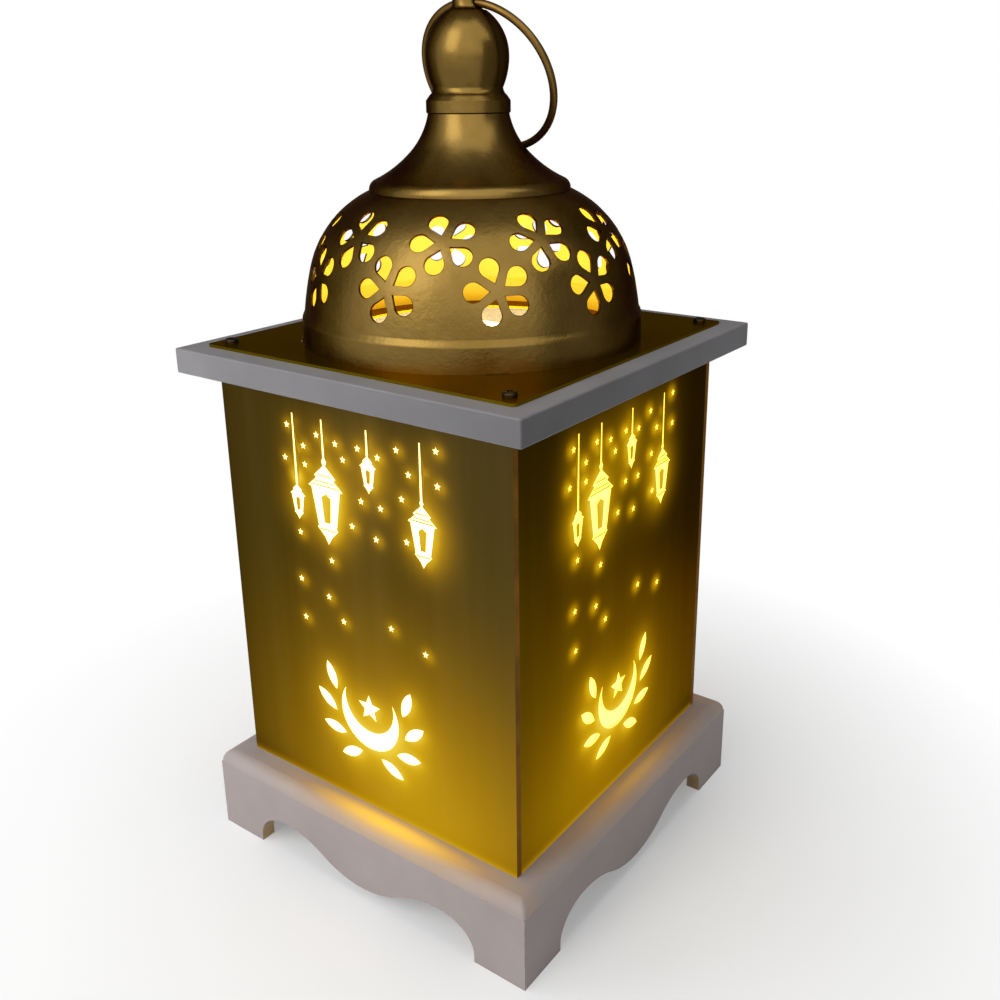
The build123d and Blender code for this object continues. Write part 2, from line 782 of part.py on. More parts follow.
# Cover: slides out towards +X, with grip ribs under its leading end
cover_width = cavity_width - 2 * slide_clearance
cover_start = box_start + box_wall + slide_clearance
grip_start = box_end - grip_rib_length / 2
with BuildPart() as battery_cover:
    with BuildSketch(Plane.XY.offset(cover_bottom)):
        with Locations((cover_start, 0)):
            Rectangle(box_end - cover_start, cover_width, align=(Align.MIN, Align.CENTER))
    extrude(amount=cover_thickness)
    with BuildSketch(Plane.XY.offset(cover_bottom)):
        with Locations((grip_start, 0)):
            with GridLocations(grip_rib_pitch, 0, grip_rib_count, 1):
                Rectangle(grip_rib_width, grip_rib_length)
    extrude(amount=-grip_rib_height)
save(battery_cover.part, "battery_cover")

# Cells, laid to and fro, and the leaf contacts at their ends
with BuildPart() as cells:
    for row in range(cell_count):
        facing = 1 if row % 2 == 0 else -1
        cell_y = (row - (cell_count - 1) / 2) * cell_pitch
        can_start = box_shift - facing * cell_span / 2
        cell_plane = Plane(origin=(can_start, cell_y, cell_axis_z), x_dir=(0, 1, 0), z_dir=(facing, 0, 0))
        with BuildSketch(cell_plane):
            Circle(cell_radius)
        extrude(amount=cell_length)
        with BuildSketch(cell_plane.offset(cell_length)):
            Circle(cell_nub_radius)
        extrude(amount=cell_nub_length)
save(cells.part, "cells")

contact_reach = box_end_room - slide_clearance
with BuildPart() as contacts:
    for end_side in (-1, 1):
        seat_x = box_shift + end_side * (box_length / 2 - box_wall - contact_thickness)
        apex_x = box_shift + end_side * (box_length / 2 - box_wall - contact_reach)
        for row in range(cell_count):
            cell_y = (row - (cell_count - 1) / 2) * cell_pitch
            with BuildSketch(Plane.XZ.offset(-cell_y)):
                with BuildLine():
                    Polyline(
                        (seat_x, cell_axis_z - end_side * contact_width / 2),
                        (apex_x, cell_axis_z),
                        (seat_x, cell_axis_z + end_side * contact_width / 2),
                    )
                    offset(amount=contact_thickness, side=Side.RIGHT)
                make_face()
            extrude(amount=contact_width / 2, both=True)
save(contacts.part, "contacts")

# Screws that hold the box's lugs to the base board
with BuildPart() as box_screws:
    with BuildSketch(Plane.XY.offset(board_bottom - lug_thickness)):
        with Locations((box_shift, lug_y), (box_shift, -lug_y)):
            Circle(plate_screw_head_radius)
    extrude(amount=-plate_screw_head_height)
    fillet(box_screws.faces().group_by(Axis.Z)[0].edges(), plate_screw_head_height / 2)
    with BuildSketch(Plane.XY.offset(board_bottom - lug_thickness)):
        with Locations((box_shift, lug_y), (box_shift, -lug_y)):
            Circle(plate_screw_radius)
    extrude(amount=lug_thickness + box_screw_length)
save(box_screws.part, "box_screws")

# Slide switch: a slotted housing and the knob whose flange runs inside it
switch_bottom = board_bottom - switch_height
with BuildPart() as switch_body:
    with BuildSketch(Plane.XY.offset(switch_bottom)):
        with Locations((switch_shift, 0)):
            Rectangle(switch_length, switch_width)
    extrude(amount=switch_height)
    with BuildSketch(Plane.XY.offset(switch_bottom + switch_wall)):
        with Locations((switch_shift, 0)):
            Rectangle(switch_length - 2 * switch_wall, switch_width - 2 * switch_wall)
    extrude(amount=switch_height - switch_wall, mode=Mode.SUBTRACT)
    with BuildSketch(Plane.XY.offset(switch_bottom)):
        with Locations((switch_shift, 0)):
            Rectangle(
                knob_length + switch_travel + 2 * slide_clearance, knob_width + 2 * slide_clearance
            )
    extrude(amount=switch_wall, mode=Mode.SUBTRACT)
save(switch_body.part, "switch_body")

knob_x = switch_shift - switch_travel / 2
flange_bottom = switch_bottom + switch_wall + slide_clearance
with BuildPart() as switch_knob:
    with BuildSketch(Plane.XY.offset(flange_bottom)):
        with Locations((knob_x, 0)):
            Rectangle(knob_length + 2 * knob_flange, knob_width + 2 * knob_flange)
    extrude(amount=switch_wall)
    with BuildSketch(Plane.XY.offset(flange_bottom)):
        with Locations((knob_x, 0)):
            Rectangle(knob_length, knob_width)
    extrude(amount=switch_bottom - knob_drop - flange_bottom)
    fillet(switch_knob.faces().sort_by(Axis.Z)[0].edges(), knob_round)
save(switch_knob.part, "switch_knob")

# Leads: box to switch, switch to light board, light board back to box
lead_z = board_bottom - lead_depth
board_edge_z = light_board_bottom + light_board_thickness / 2
switch_start = switch_shift - switch_length / 2
switch_end = switch_shift + switch_length / 2
return_edge_x = sqrt(light_board_radius**2 - (return_lead_y + lead_radius) ** 2) + wire_clearance
lead_routes = {
    "lead_supply": ((box_end, 0, lead_z), (switch_start, 0, lead_z)),
    "lead_switch": (
        (switch_end, 0, lead_z),
        (supply_hole_x, 0, lead_z),
        (supply_hole_x, 0, board_edge_z),
        (light_board_radius + wire_clearance, 0, board_edge_z),
    ),
    "lead_return": (
        (box_end, return_lead_y, lead_z),
        (return_hole_x, return_lead_y, lead_z),
        (return_hole_x, return_lead_y, board_edge_z),
        (return_edge_x, return_lead_y, board_edge_z),
    ),
}
for name, route in lead_routes.items():
    with BuildPart() as lead:
        with BuildLine() as lead_path:
            if len(route) > 2:
                FilletPolyline(*route, radius=lead_bend)
            else:
                Line(*route)
        with BuildSketch(Plane(origin=route[0], z_dir=lead_path.line % 0)):
            Circle(lead_radius)
        sweep(path=lead_path.line)
    save(lead.part, name)
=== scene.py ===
"""Table lantern in a pale studio: engraved light panels, a pierced spun dome and painted boards.

Metres, +Z up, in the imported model's own frame. The front panel faces -Y, the right panel +X.
"""
import json
from math import acos, atan2, cos, pi, radians, sin, sqrt

import bpy
import numpy as np
from mathutils import Matrix, Vector
from mathutils.geometry import delaunay_2d_cdt


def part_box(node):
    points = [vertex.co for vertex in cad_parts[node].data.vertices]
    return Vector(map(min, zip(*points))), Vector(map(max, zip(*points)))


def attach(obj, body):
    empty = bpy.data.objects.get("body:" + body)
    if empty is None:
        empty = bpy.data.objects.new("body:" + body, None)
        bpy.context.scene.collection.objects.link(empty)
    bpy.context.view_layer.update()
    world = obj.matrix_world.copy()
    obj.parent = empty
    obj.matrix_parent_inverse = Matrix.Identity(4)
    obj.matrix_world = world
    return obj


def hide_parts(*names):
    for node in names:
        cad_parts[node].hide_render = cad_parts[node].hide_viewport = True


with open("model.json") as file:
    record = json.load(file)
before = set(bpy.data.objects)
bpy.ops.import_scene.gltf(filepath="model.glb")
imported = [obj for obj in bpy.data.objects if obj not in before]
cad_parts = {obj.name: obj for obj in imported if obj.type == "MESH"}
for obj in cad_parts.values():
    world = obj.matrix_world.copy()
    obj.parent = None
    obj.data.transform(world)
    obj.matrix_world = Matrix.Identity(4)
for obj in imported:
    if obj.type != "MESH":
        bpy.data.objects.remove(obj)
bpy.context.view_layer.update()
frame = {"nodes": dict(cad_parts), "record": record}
nodes = frame["nodes"]
scene = bpy.context.scene
mm = 0.001

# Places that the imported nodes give
panel_low, panel_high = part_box("panel_front")
body_half = -panel_low[1]
panel_thickness = panel_high[1] - panel_low[1]
panel_foot = panel_low[2]
panel_height = panel_high[2] - panel_low[2]
side_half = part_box("panel_right")[1][1]
plate_under, plate_top = (corner[2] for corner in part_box("top_plate"))
dome_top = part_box("dome_shell")[1][2]
neck_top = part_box("neck_flare")[1][2]
stem_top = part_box("finial")[1][2]
base_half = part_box("base_top")[1][0]
tray_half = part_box("tray")[1][0]
stud_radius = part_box("finial_stud")[1][0]

# Engraved ornament
engrave_depth = 0.8 * mm
panel_grid = 1.8 * mm
star_points = 5
star_radius = 1.65 * mm
star_waist_share = 0.46
string_widths = (0.7 * mm, 1.15 * mm)
string_head = 11.5 * mm
large_lantern = (19.6 * mm, 38.0 * mm)
middle_lantern = (14.6 * mm, 28.2 * mm)
small_lantern = (8.8 * mm, 17.0 * mm)
roof_line_width = 0.45 * mm
crescent_radius = 16.5 * mm
crescent_bite_share = 0.84
crescent_shift_share = 0.36
medal_star_radius = 6.4 * mm
leaf_length = 13.5 * mm
leaf_width = 5.0 * mm
medal_centre_share = 0.245
medal_star_rise_share = 0.22
leaf_ring_share = 1.52
leaf_turns = (-62, -31, 0, 31)
leaf_tilt = 38
star_place_shares = (
    (-0.492, 0.909), (-0.525, 0.830), (-0.376, 0.868), (-0.374, 0.825), (-0.272, 0.901),
    (-0.137, 0.891), (-0.088, 0.859), (0.022, 0.893), (0.158, 0.884), (0.287, 0.911),
    (0.362, 0.864), (0.543, 0.929), (0.547, 0.855), (0.028, 0.775), (0.163, 0.771),
    (0.310, 0.806), (-0.047, 0.710), (-0.447, 0.657), (0.121, 0.696), (0.332, 0.712),
    (-0.217, 0.610), (-0.467, 0.539), (-0.258, 0.516), (-0.455, 0.442), (-0.156, 0.466),
    (0.196, 0.493), (0.429, 0.461),
)
lantern_tips = (
    (-0.447, 0.688, small_lantern),
    (-0.230, 0.647, large_lantern),
    (0.087, 0.797, small_lantern),
    (0.440, 0.664, middle_lantern),
)
lantern_edge_shares = (
    (0.07, 1.0), (0.145, 0.965), (0.07, 0.915), (0.38, 0.845), (0.62, 0.79), (0.50, 0.765), (1.0, 0.66),
    (0.83, 0.645), (0.53, 0.21), (0.60, 0.185), (0.44, 0.148), (0.18, 0.08), (0.0, 0.0),
)
lantern_pane_shares = ((0.0, 0.595), (0.27, 0.55), (0.17, 0.255))
roof_line_shares = ((0.40, 0.80), (0.58, 0.728), (0.80, 0.683), (0.46, 0.172))

# Light behind the film: spreads with their shares, and pools as across, up, spread and power
halo_spreads = ((1.3 * mm, 0.45), (3.6 * mm, 0.60), (7.5 * mm, 1.4), (30.0 * mm, 0.09))
foot_line_spread = 1.1 * mm
foot_line_power = 0.28
star_halo_spread = 2.1 * mm
front_star_power = 0.35
side_star_power = 0.70
front_pools = ((0.35, 0.0, 50.0 * mm, 0.62), (-0.440, 0.792, 2.6 * mm, 1.4))
side_pools = ((-0.22, 0.0, 46.0 * mm, 0.36), (0.05, 0.82, 24.0 * mm, 0.07))
rim_core_share = 0.55

# Dome, neck, finial and ring: the turned outlines
spin_steps = 192
dome_radius = 73.4 * mm
dome_wall = 1.0 * mm
band_height = 9.8 * mm
band_foot = 2.0 * mm
band_lean = 0.1 * mm
bead_height = 3.6 * mm
bead_step = 1.3 * mm
bead_points = 19
shoulder_rise = 30.4 * mm
shoulder_radius = 68.8 * mm
side_bow = 0.25 * mm
crown_radius = 43.0 * mm
stud_gap = 0.3 * mm
tab_count = 4
tab_start = 45
tab_radius = 74.0 * mm
tab_width = 8.0 * mm
tab_length = 6.0 * mm
flowers_per_row = 10
petals_per_flower = 5
row_phase = -115.7
upper_row_share = 0.455
petal_reach = 9.3 * mm
petal_tip = 3.2 * mm
petal_radius = 3.8 * mm
petal_steps = 24
petal_cut = 18.0 * mm
petal_cut_rise = 5.0 * mm
lip_width = 0.45 * mm
lip_lift = 0.06 * mm
lip_root = 0.4 * mm
neck_radius = 16.9 * mm
neck_lean = 0.2
neck_lip_radius = 42.5 * mm
neck_lip_height = 0.6 * mm
neck_lip_inset = 2.0 * mm
neck_lip_rise = 3.7 * mm
neck_bend_shares = (0.30, 0.513)
collar_radius = 17.5 * mm
collar_height = 5.1 * mm
collar_break = 0.5 * mm
collar_slope = 2.2 * mm
cove_radius = 15.9 * mm
cove_height = 2.9 * mm
bulb_foot_radius = 14.5 * mm
bulb_radius = 17.1 * mm
bulb_height = 29.5 * mm
bulb_swell_share = 0.417
bulb_top_radius = 8.2 * mm
stem_radius = 5.6 * mm
stem_flare = 2.6 * mm
stem_round = 2.6 * mm
ring_radius = 31.9 * mm
ring_wire_radius = 1.6 * mm
ring_steps = 128
ring_wire_steps = 24
ring_hole_radius = 2.4 * mm
ring_hole_rise = 2.8 * mm
ring_hole_steps = 32
ring_lean = 64.4
axis_gap = 0.02 * mm

# Limits of the calculations
tiny = 1e-12
vertices_at_once = 4000
spots_at_once = 1500
halvings = 30
cut_crease = 0.75
cad_crease = radians(28)
turned_crease = radians(32)
weld_distance = 0.002 * mm


def add_piece(name, vertices, faces, materials, body, replaced=()):
    """Mesh object that rides on a body and, where named, stands for CAD nodes."""
    mesh = bpy.data.meshes.new(name)
    mesh.from_pydata(vertices, [], faces)
    mesh.validate()
    mesh.update()
    for material in materials:
        mesh.materials.append(material)
    piece = bpy.data.objects.new(name, mesh)
    scene.collection.objects.link(piece)
    if body:
        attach(piece, body)
    if replaced:
        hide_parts(*replaced)
    return piece


def grid_faces(start, rows, columns, loop_rows=False, loop_columns=True):
    """Quads between neighbouring vertices of a grid, closed round where asked."""
    faces = []
    for row in range(rows if loop_rows else rows - 1):
        here, there = start + row * columns, start + (row + 1) % rows * columns
        for column in range(columns if loop_columns else columns - 1):
            after = (column + 1) % columns
            faces.append((here + column, there + column, there + after, here + after))
    return faces


def prism_faces(start, count):
    """Faces of a closed prism between two loops, the first one anticlockwise from outside."""
    first, second = range(start, start + count), range(start + count, start + 2 * count)
    return [tuple(first), tuple(reversed(second))] + grid_faces(start, 2, count)


def swept_arc(start, end, direction, steps):
    """Points of the arc that leaves start along direction and reaches end, with its last direction."""
    start, end = Vector(start), Vector(end)
    along = Vector(direction).normalized()
    across = Vector((-along.y, along.x))
    chord = end - start
    radius = chord.length_squared / (2 * chord.dot(across))
    centre = start + across * radius
    first = atan2(start.y - centre.y, start.x - centre.x)
    last = atan2(end.y - centre.y, end.x - centre.x)
    sweep = (last - first) % (2 * pi) if radius > 0 else -((first - last) % (2 * pi))
    reach = abs(radius)
    points = []
    for step in range(steps + 1):
        angle = first + sweep * step / steps
        points.append((centre.x + reach * cos(angle), centre.y + reach * sin(angle)))
    return points, along @ Matrix.Rotation(-sweep, 2)


def bowed_arc(start, middle, end, steps):
    """Points of the arc through three points, with its last direction."""
    start, middle, end = Vector(start), Vector(middle), Vector(end)
    first, second = middle - start, end - start
    cross = 2 * (first.x * second.y - first.y * second.x)
    centre = start + Vector((
        second.y * first.length_squared - first.y * second.length_squared,
        first.x * second.length_squared - second.x * first.length_squared,
    )) / cross
    spoke = start - centre
    turn = 1 if cross > 0 else -1
    return swept_arc(start, end, Vector((-spoke.y, spoke.x)) * turn, steps)


def straight_runs(*stops):
    """Evenly spaced points through corners, given as a corner, a count of steps, a corner and so on."""
    outline = [stops[0]]
    for start, steps, end in zip(stops[::2], stops[1::2], stops[2::2]):
        outline.extend(
            (start[0] + (end[0] - start[0]) * step / steps, start[1] + (end[1] - start[1]) * step / steps)
            for step in range(1, steps + 1)
        )
    return outline


def joined(*runs):
    """One outline from runs that share their end points."""
    outline = list(runs[0])
    for run in runs[1:]:
        outline.extend(run[1:])
    return outline


def spun(outline):
    """Vertices and faces of an outline turned about the lantern's axis."""
    vertices = []
    for step in range(spin_steps):
        angle = 2 * pi * step / spin_steps
        vertices.extend((r * cos(angle), r * sin(angle), z) for r, z in outline)
    return vertices, grid_faces(0, spin_steps, len(outline), loop_rows=True, loop_columns=False)


def outline_normals(outline):
    """Outward normal at each point of an outline that runs upwards on the outside."""
    points = np.array(outline)
    along = np.gradient(points, axis=0)
    along /= np.linalg.norm(along, axis=1)[:, None] + tiny
    return points, np.stack([along[:, 1], -along[:, 0]], axis=1)


def cut_with(piece, cutter):
    """Subtract a closed cutter from a piece and keep the result as the piece's mesh."""
    modifier = piece.modifiers.new("cut", "BOOLEAN")
    modifier.operation = "DIFFERENCE"
    modifier.solver = "EXACT"
    modifier.object = cutter
    graph = bpy.context.evaluated_depsgraph_get()
    result = bpy.data.meshes.new_from_object(piece.evaluated_get(graph))
    piece.modifiers.remove(modifier)
    piece.data = result
    bpy.data.objects.remove(cutter)


def smooth_turned(piece, outline):
    """Give a cut turned piece the normals of its outline, and leave the cut walls crisp."""
    mesh = piece.data
    points, normals = outline_normals(outline)
    places = np.array([vertex.co for vertex in mesh.vertices])
    reach = np.hypot(places[:, 0], places[:, 1])
    nearest = np.empty(len(places), dtype=int)
    for start in range(0, len(places), vertices_at_once):
        part = slice(start, start + vertices_at_once)
        gaps = (points[:, 0] - reach[part, None]) ** 2 + (points[:, 1] - places[part, 2:]) ** 2
        nearest[part] = gaps.argmin(axis=1)
    unit = places[:, :2] / np.maximum(reach, tiny)[:, None]
    turned = np.column_stack([unit * normals[nearest, :1], normals[nearest, 1]])
    loop_normals = []
    for polygon in mesh.polygons:
        polygon.use_smooth = True
        face = polygon.normal
        for vertex in polygon.vertices:
            ideal = Vector(turned[vertex])
            loop_normals.append(ideal if ideal.dot(face) > cut_crease else face.copy())
    mesh.normals_split_custom_set(loop_normals)
    return nearest, turned


# Shader building blocks
def set_input(tree, socket, value):
    """Link a socket to a source, or give it a plain value."""
    if isinstance(value, bpy.types.NodeSocket):
        tree.links.new(value, socket)
    elif socket.type == "RGBA":
        socket.default_value = (*value, 1)
    elif value is not None:
        socket.default_value = value


def feed(tree, node, **values):
    """Set a node's attributes by name and its inputs by label, and give the node."""
    for label, value in values.items():
        if hasattr(node, label):
            setattr(node, label, value)
        else:
            set_input(tree, node.inputs[label.replace("_", " ")], value)
    return node


def add_node(tree, kind, *sources, **values):
    """New node with its first inputs fed in order, and the rest by name or label."""
    node = feed(tree, tree.nodes.new(kind), **values)
    for socket, value in zip(node.inputs, sources):
        set_input(tree, socket, value)
    return node


def add_math(tree, operation, first, second=None, clamp=False):
    """Math node on links or numbers, giving its output socket."""
    return add_node(tree, "ShaderNodeMath", first, second, operation=operation, use_clamp=clamp).outputs[0]


def add_range(tree, value, **ends):
    """A value spread from one range to another, giving its output socket."""
    return add_node(tree, "ShaderNodeMapRange", value, **ends).outputs["Result"]


def add_ramp(tree, factor, stops):
    """Colour ramp with the given (place, colour) stops, giving its colour socket."""
    ramp = add_node(tree, "ShaderNodeValToRGB", factor)
    elements = ramp.color_ramp.elements
    while len(elements) < len(stops):
        elements.new(0.5)
    for element, (place, colour) in zip(elements, stops):
        element.position = place
        element.color = (*colour, 1)
    return ramp.outputs["Color"]


def add_mix(tree, factor, first, second):
    """Colour mix of links or colours, giving its colour socket."""
    node = add_node(tree, "ShaderNodeMix", factor, data_type="RGBA")
    for label, value in (("A", first), ("B", second)):
        socket = next(item for item in node.inputs if item.name == label and item.type == "RGBA")
        set_input(tree, socket, value)
    return next(item for item in node.outputs if item.type == "RGBA")


def add_place(tree):
    """Sockets of the piece's own coordinates and normals."""
    return add_node(tree, "ShaderNodeTexCoord").outputs


def add_split(tree, source):
    """X, Y and Z sockets of a place or a direction."""
    return add_node(tree, "ShaderNodeSeparateXYZ", source).outputs


def new_group(name, inputs, outputs):
    """Empty shader group with named sockets, what it is given and where its result goes."""
    group = bpy.data.node_groups.new(name, "ShaderNodeTree")
    for label, kind, value in inputs:
        socket = group.interface.new_socket(label, in_out="INPUT", socket_type=f"NodeSocket{kind}")
        socket.default_value = value
    for label, kind in outputs:
        group.interface.new_socket(label, in_out="OUTPUT", socket_type=f"NodeSocket{kind}")
    return group, group.nodes.new("NodeGroupInput").outputs, group.nodes.new("NodeGroupOutput")


def make_mottle():
    """Cloudy change between two colours, with a fine grain as height."""
    group, given, result = new_group(
        "mottle",
        (
            ("Dark", "Color", (0.2, 0.2, 0.2, 1)),
            ("Light", "Color", (0.4, 0.4, 0.4, 1)),
            ("Cloud Scale", "Float", 30.0),
            ("Grain Scale", "Float", 900.0),
            ("Stretch", "Vector", (1, 1, 1)),
        ),
        (("Color", "Color"), ("Cloud", "Float"), ("Grain", "Float")),
    )
    stretched = add_node(
        group, "ShaderNodeVectorMath", add_place(group)["Object"], given["Stretch"], operation="MULTIPLY"
    ).outputs[0]
    cloud = add_node(
        group, "ShaderNodeTexNoise", stretched, Scale=given["Cloud Scale"], Detail=4.0, Roughness=0.6
    )
    grain = add_node(
        group, "ShaderNodeTexNoise", stretched, Scale=given["Grain Scale"], Detail=3.0, Roughness=0.7
    )
    share = add_range(group, cloud.outputs["Fac"], From_Min=0.3, From_Max=0.7)
    colour = add_mix(group, share, given["Dark"], given["Light"])
    feed(group, result, Color=colour, Cloud=share, Grain=grain.outputs["Fac"])
    return group


def make_edge_wear():
    """Mask of rubbed corners, broken up by noise."""
    corner_gain = 6.0
    patch_start, patch_gain = 0.52, 9.0
    group, given, result = new_group(
        "edge_wear", (("Width", "Float", 0.8 * mm), ("Breakup", "Float", 160.0)), (("Mask", "Float"),)
    )
    rounded = add_node(group, "ShaderNodeBevel", samples=6, Radius=given["Width"]).outputs["Normal"]
    flat = add_node(group, "ShaderNodeNewGeometry").outputs["Normal"]
    likeness = add_node(group, "ShaderNodeVectorMath", rounded, flat, operation="DOT_PRODUCT")
    noise = add_node(
        group, "ShaderNodeTexNoise", add_place(group)["Object"],
        Scale=given["Breakup"], Detail=5.0, Roughness=0.65,
    )
    corner = add_math(group, "SUBTRACT", 1.0, likeness.outputs["Value"])
    patch = add_math(group, "SUBTRACT", noise.outputs["Fac"], patch_start)
    rubbed = add_math(group, "MULTIPLY", corner, corner_gain, clamp=True)
    broken = add_math(group, "MULTIPLY", patch, patch_gain, clamp=True)
    feed(group, result, Mask=add_math(group, "MULTIPLY", rubbed, broken, clamp=True))
    return group


def make_painted_ledge_light():
    """Mask of painted light on the base's ledge under each panel, where the lamp's light would fall."""
    front_middle, side_middle = 14.0 * mm, 10.0 * mm
    ledge_middle = (body_half + base_half) / 2
    group, given, result = new_group(
        "painted_ledge_light",
        (("Width", "Float", 48.0 * mm), ("Depth", "Float", 5.4 * mm), ("Sides", "Float", 0.42)),
        (("Mask", "Float"),),
    )
    place = add_place(group)
    spot = add_split(group, place["Object"])

    def falloff(value, middle, width):
        share = add_math(group, "DIVIDE", add_math(group, "SUBTRACT", value, middle), width)
        square = add_math(group, "MULTIPLY", share, share)
        return add_math(group, "EXPONENT", add_math(group, "MULTIPLY", square, -1.0))

    def pool(along, middle, across):
        near = falloff(add_math(group, "ABSOLUTE", spot[across]), ledge_middle, given["Depth"])
        return add_math(group, "MULTIPLY", falloff(spot[along], middle, given["Width"]), near)

    sides = add_math(group, "MULTIPLY", pool("Y", side_middle, "X"), given["Sides"])
    mask = add_math(group, "MAXIMUM", pool("X", front_middle, "Y"), sides)
    upward = add_math(group, "GREATER_THAN", add_split(group, place["Normal"])["Z"], 0.0)
    feed(group, result, Mask=add_math(group, "MULTIPLY", mask, upward))
    return group


def make_raw_cut():
    """Mask of unpainted faces: the inner sides of the boards and the ends of their feet."""
    square_on = 0.9
    group, given, result = new_group(
        "raw_cut", (("Inner Reach", "Float", 85.0 * mm),), (("Mask", "Float"),)
    )
    place = add_place(group)
    spot, facing = add_split(group, place["Object"]), add_split(group, place["Normal"])
    sides = []
    for axis in ("X", "Y"):
        faces_along = add_math(group, "GREATER_THAN", add_math(group, "ABSOLUTE", facing[axis]), square_on)
        reach = add_math(group, "ABSOLUTE", spot[axis])
        within = add_math(group, "LESS_THAN", reach, given["Inner Reach"])
        sides.append(add_math(group, "MULTIPLY", faces_along, within))
    feed(group, result, Mask=add_math(group, "MAXIMUM", *sides))
    return group


mottle = make_mottle()
edge_wear = make_edge_wear()
painted_ledge_light = make_painted_ledge_light()
raw_cut = make_raw_cut()


# Materials
def new_material(name, **values):
    """Principled material with plain values on its own sockets."""
    material = bpy.data.materials.new(name)
    material.use_nodes = True
    tree = material.node_tree
    return material, tree, feed(tree, tree.nodes["Principled BSDF"], **values)


def place_group(tree, group, **values):
    """A shared group with this material's own values, giving its outputs."""
    return add_node(tree, "ShaderNodeGroup", node_tree=group, **values).outputs


def place_mottle(tree, dark, light, cloud_scale, grain_scale, stretch=(1, 1, 1)):
    """The mottle group with this material's own colours and scales, giving its outputs."""
    return place_group(
        tree, mottle, Dark=dark, Light=light, Stretch=stretch,
        Cloud_Scale=cloud_scale, Grain_Scale=grain_scale,
    )


def add_texture(tree, shader, cloud, roughness, bump, bump_depth=0.3 * mm, mask="Cloud"):
    """Roughness between two values and a fine bump, both from a mottle."""
    low, high = roughness
    grain = add_node(tree, "ShaderNodeBump", Strength=bump, Distance=bump_depth, Height=cloud["Grain"])
    varied = add_range(tree, cloud[mask], To_Min=low, To_Max=high)
    feed(tree, shader, Normal=grain.outputs["Normal"], Roughness=varied)


def make_finish(
    name, dark, light, roughness,
    cloud_scale=60.0, grain_scale=1200.0, grain=0.1, grain_depth=0.3 * mm, **values
):
    """Mottled finish for a plain piece: colour, roughness and a fine grain all vary."""
    material, tree, shader = new_material(name, **values)
    cloud = place_mottle(tree, dark, light, cloud_scale, grain_scale)
    feed(tree, shader, Base_Color=cloud["Color"])
    add_texture(tree, shader, cloud, roughness, grain, grain_depth)
    return material


# Painted shade: the tray's upright faces darken towards its front corner.
shaded_corner_reach = 0.20
shaded_corner_share = 0.42
corner_shade_colour = (0.02, 0.019, 0.019)
rubbed_board = (0.30, 0.22, 0.13)
cut_board = ((0.42, 0.28, 0.13), (0.60, 0.43, 0.23))
# Painted light on the base's ledge: a warm paint colour and a glow.
painted_ledge_colour = (0.30, 0.18, 0.03)
painted_ledge_glow = (
    (0.0, (0, 0, 0)), (0.3, (0.13, 0.060, 0.003)), (0.6, (0.42, 0.22, 0.015)), (1.0, (0.84, 0.50, 0.05)),
)


def make_painted_board(name, dark, light, paint_ledge_light=False, cut_ends=False, shaded_corner=None):
    """Matt paint on fibreboard with rubbed corners and, where asked, raw cuts, painted shade at a corner,
    painted light on the ledge.
    """
    material, tree, shader = new_material(name, Specular_IOR_Level=0.35)
    paint = place_mottle(tree, dark, light, 26.0, 1500.0)
    rubbed = place_group(tree, edge_wear, Width=0.9 * mm, Breakup=210.0)["Mask"]
    colour = add_mix(tree, rubbed, paint["Color"], rubbed_board)
    # Painted shade: upright faces darken towards the given corner.
    if shaded_corner:
        place = add_place(tree)
        gap = add_node(tree, "ShaderNodeVectorMath", place["Object"], shaded_corner, operation="DISTANCE")
        share = add_range(
            tree, gap.outputs["Value"], From_Max=shaded_corner_reach, To_Min=shaded_corner_share, To_Max=0.0
        )
        level = add_math(tree, "ABSOLUTE", add_split(tree, place["Normal"])["Z"])
        corner_shading = add_math(tree, "MULTIPLY", share, add_math(tree, "SUBTRACT", 1.0, level))
        colour = add_mix(tree, corner_shading, colour, corner_shade_colour)
    if cut_ends:
        wood = place_mottle(tree, *cut_board, 60.0, 900.0)
        colour = add_mix(tree, place_group(tree, raw_cut)["Mask"], colour, wood["Color"])
    # Painted light: warm colour and glow where the lamp's light falls on the ledge.
    if paint_ledge_light:
        painted_light_mask = place_group(tree, painted_ledge_light)["Mask"]
        colour = add_mix(tree, painted_light_mask, colour, painted_ledge_colour)
        feed(tree, shader, Emission_Color=add_ramp(tree, painted_light_mask, painted_ledge_glow), Emission_Strength=1.0)
    feed(tree, shader, Base_Color=colour)
    add_texture(tree, shader, paint, (0.55, 0.7), 0.12)
    return material


def make_bronze(name, dark, light, roughness, orange_peel):
    """Satin antique-gold paint over spun metal."""
    return make_finish(
        name, dark, light, roughness, 38.0, 420.0, orange_peel, 0.6 * mm,
        Metallic=1.0, Specular_Tint=(0.30, 0.20, 0.08), Coat_Weight=0.07, Coat_Roughness=0.16,
    )


film_glow = (
    (0.0, (0.0, 0.0, 0.0)), (0.1, (0.092, 0.047, 0.0003)), (0.35, (0.33, 0.175, 0.001)),
    (0.62, (0.62, 0.37, 0.005)), (1.0, (1.0, 0.80, 0.08)),
)


def make_gold_film(name, dark, light):
    """Satin gold film on acrylic, lit from behind round the engraving."""
    material, tree, shader = new_material(
        name, Metallic=1.0, Specular_Tint=(0.42, 0.32, 0.08), Emission_Strength=1.0
    )
    brushed = place_mottle(tree, dark, light, 45.0, 700.0, (1.0, 1.0, 0.04))
    glow = add_node(tree, "ShaderNodeAttribute", attribute_name="glow").outputs["Fac"]
    feed(tree, shader, Base_Color=brushed["Color"], Emission_Color=add_ramp(tree, glow, film_glow))
    add_texture(tree, shader, brushed, (0.30, 0.46), 0.05, 0.2 * mm, mask="Grain")
    return material


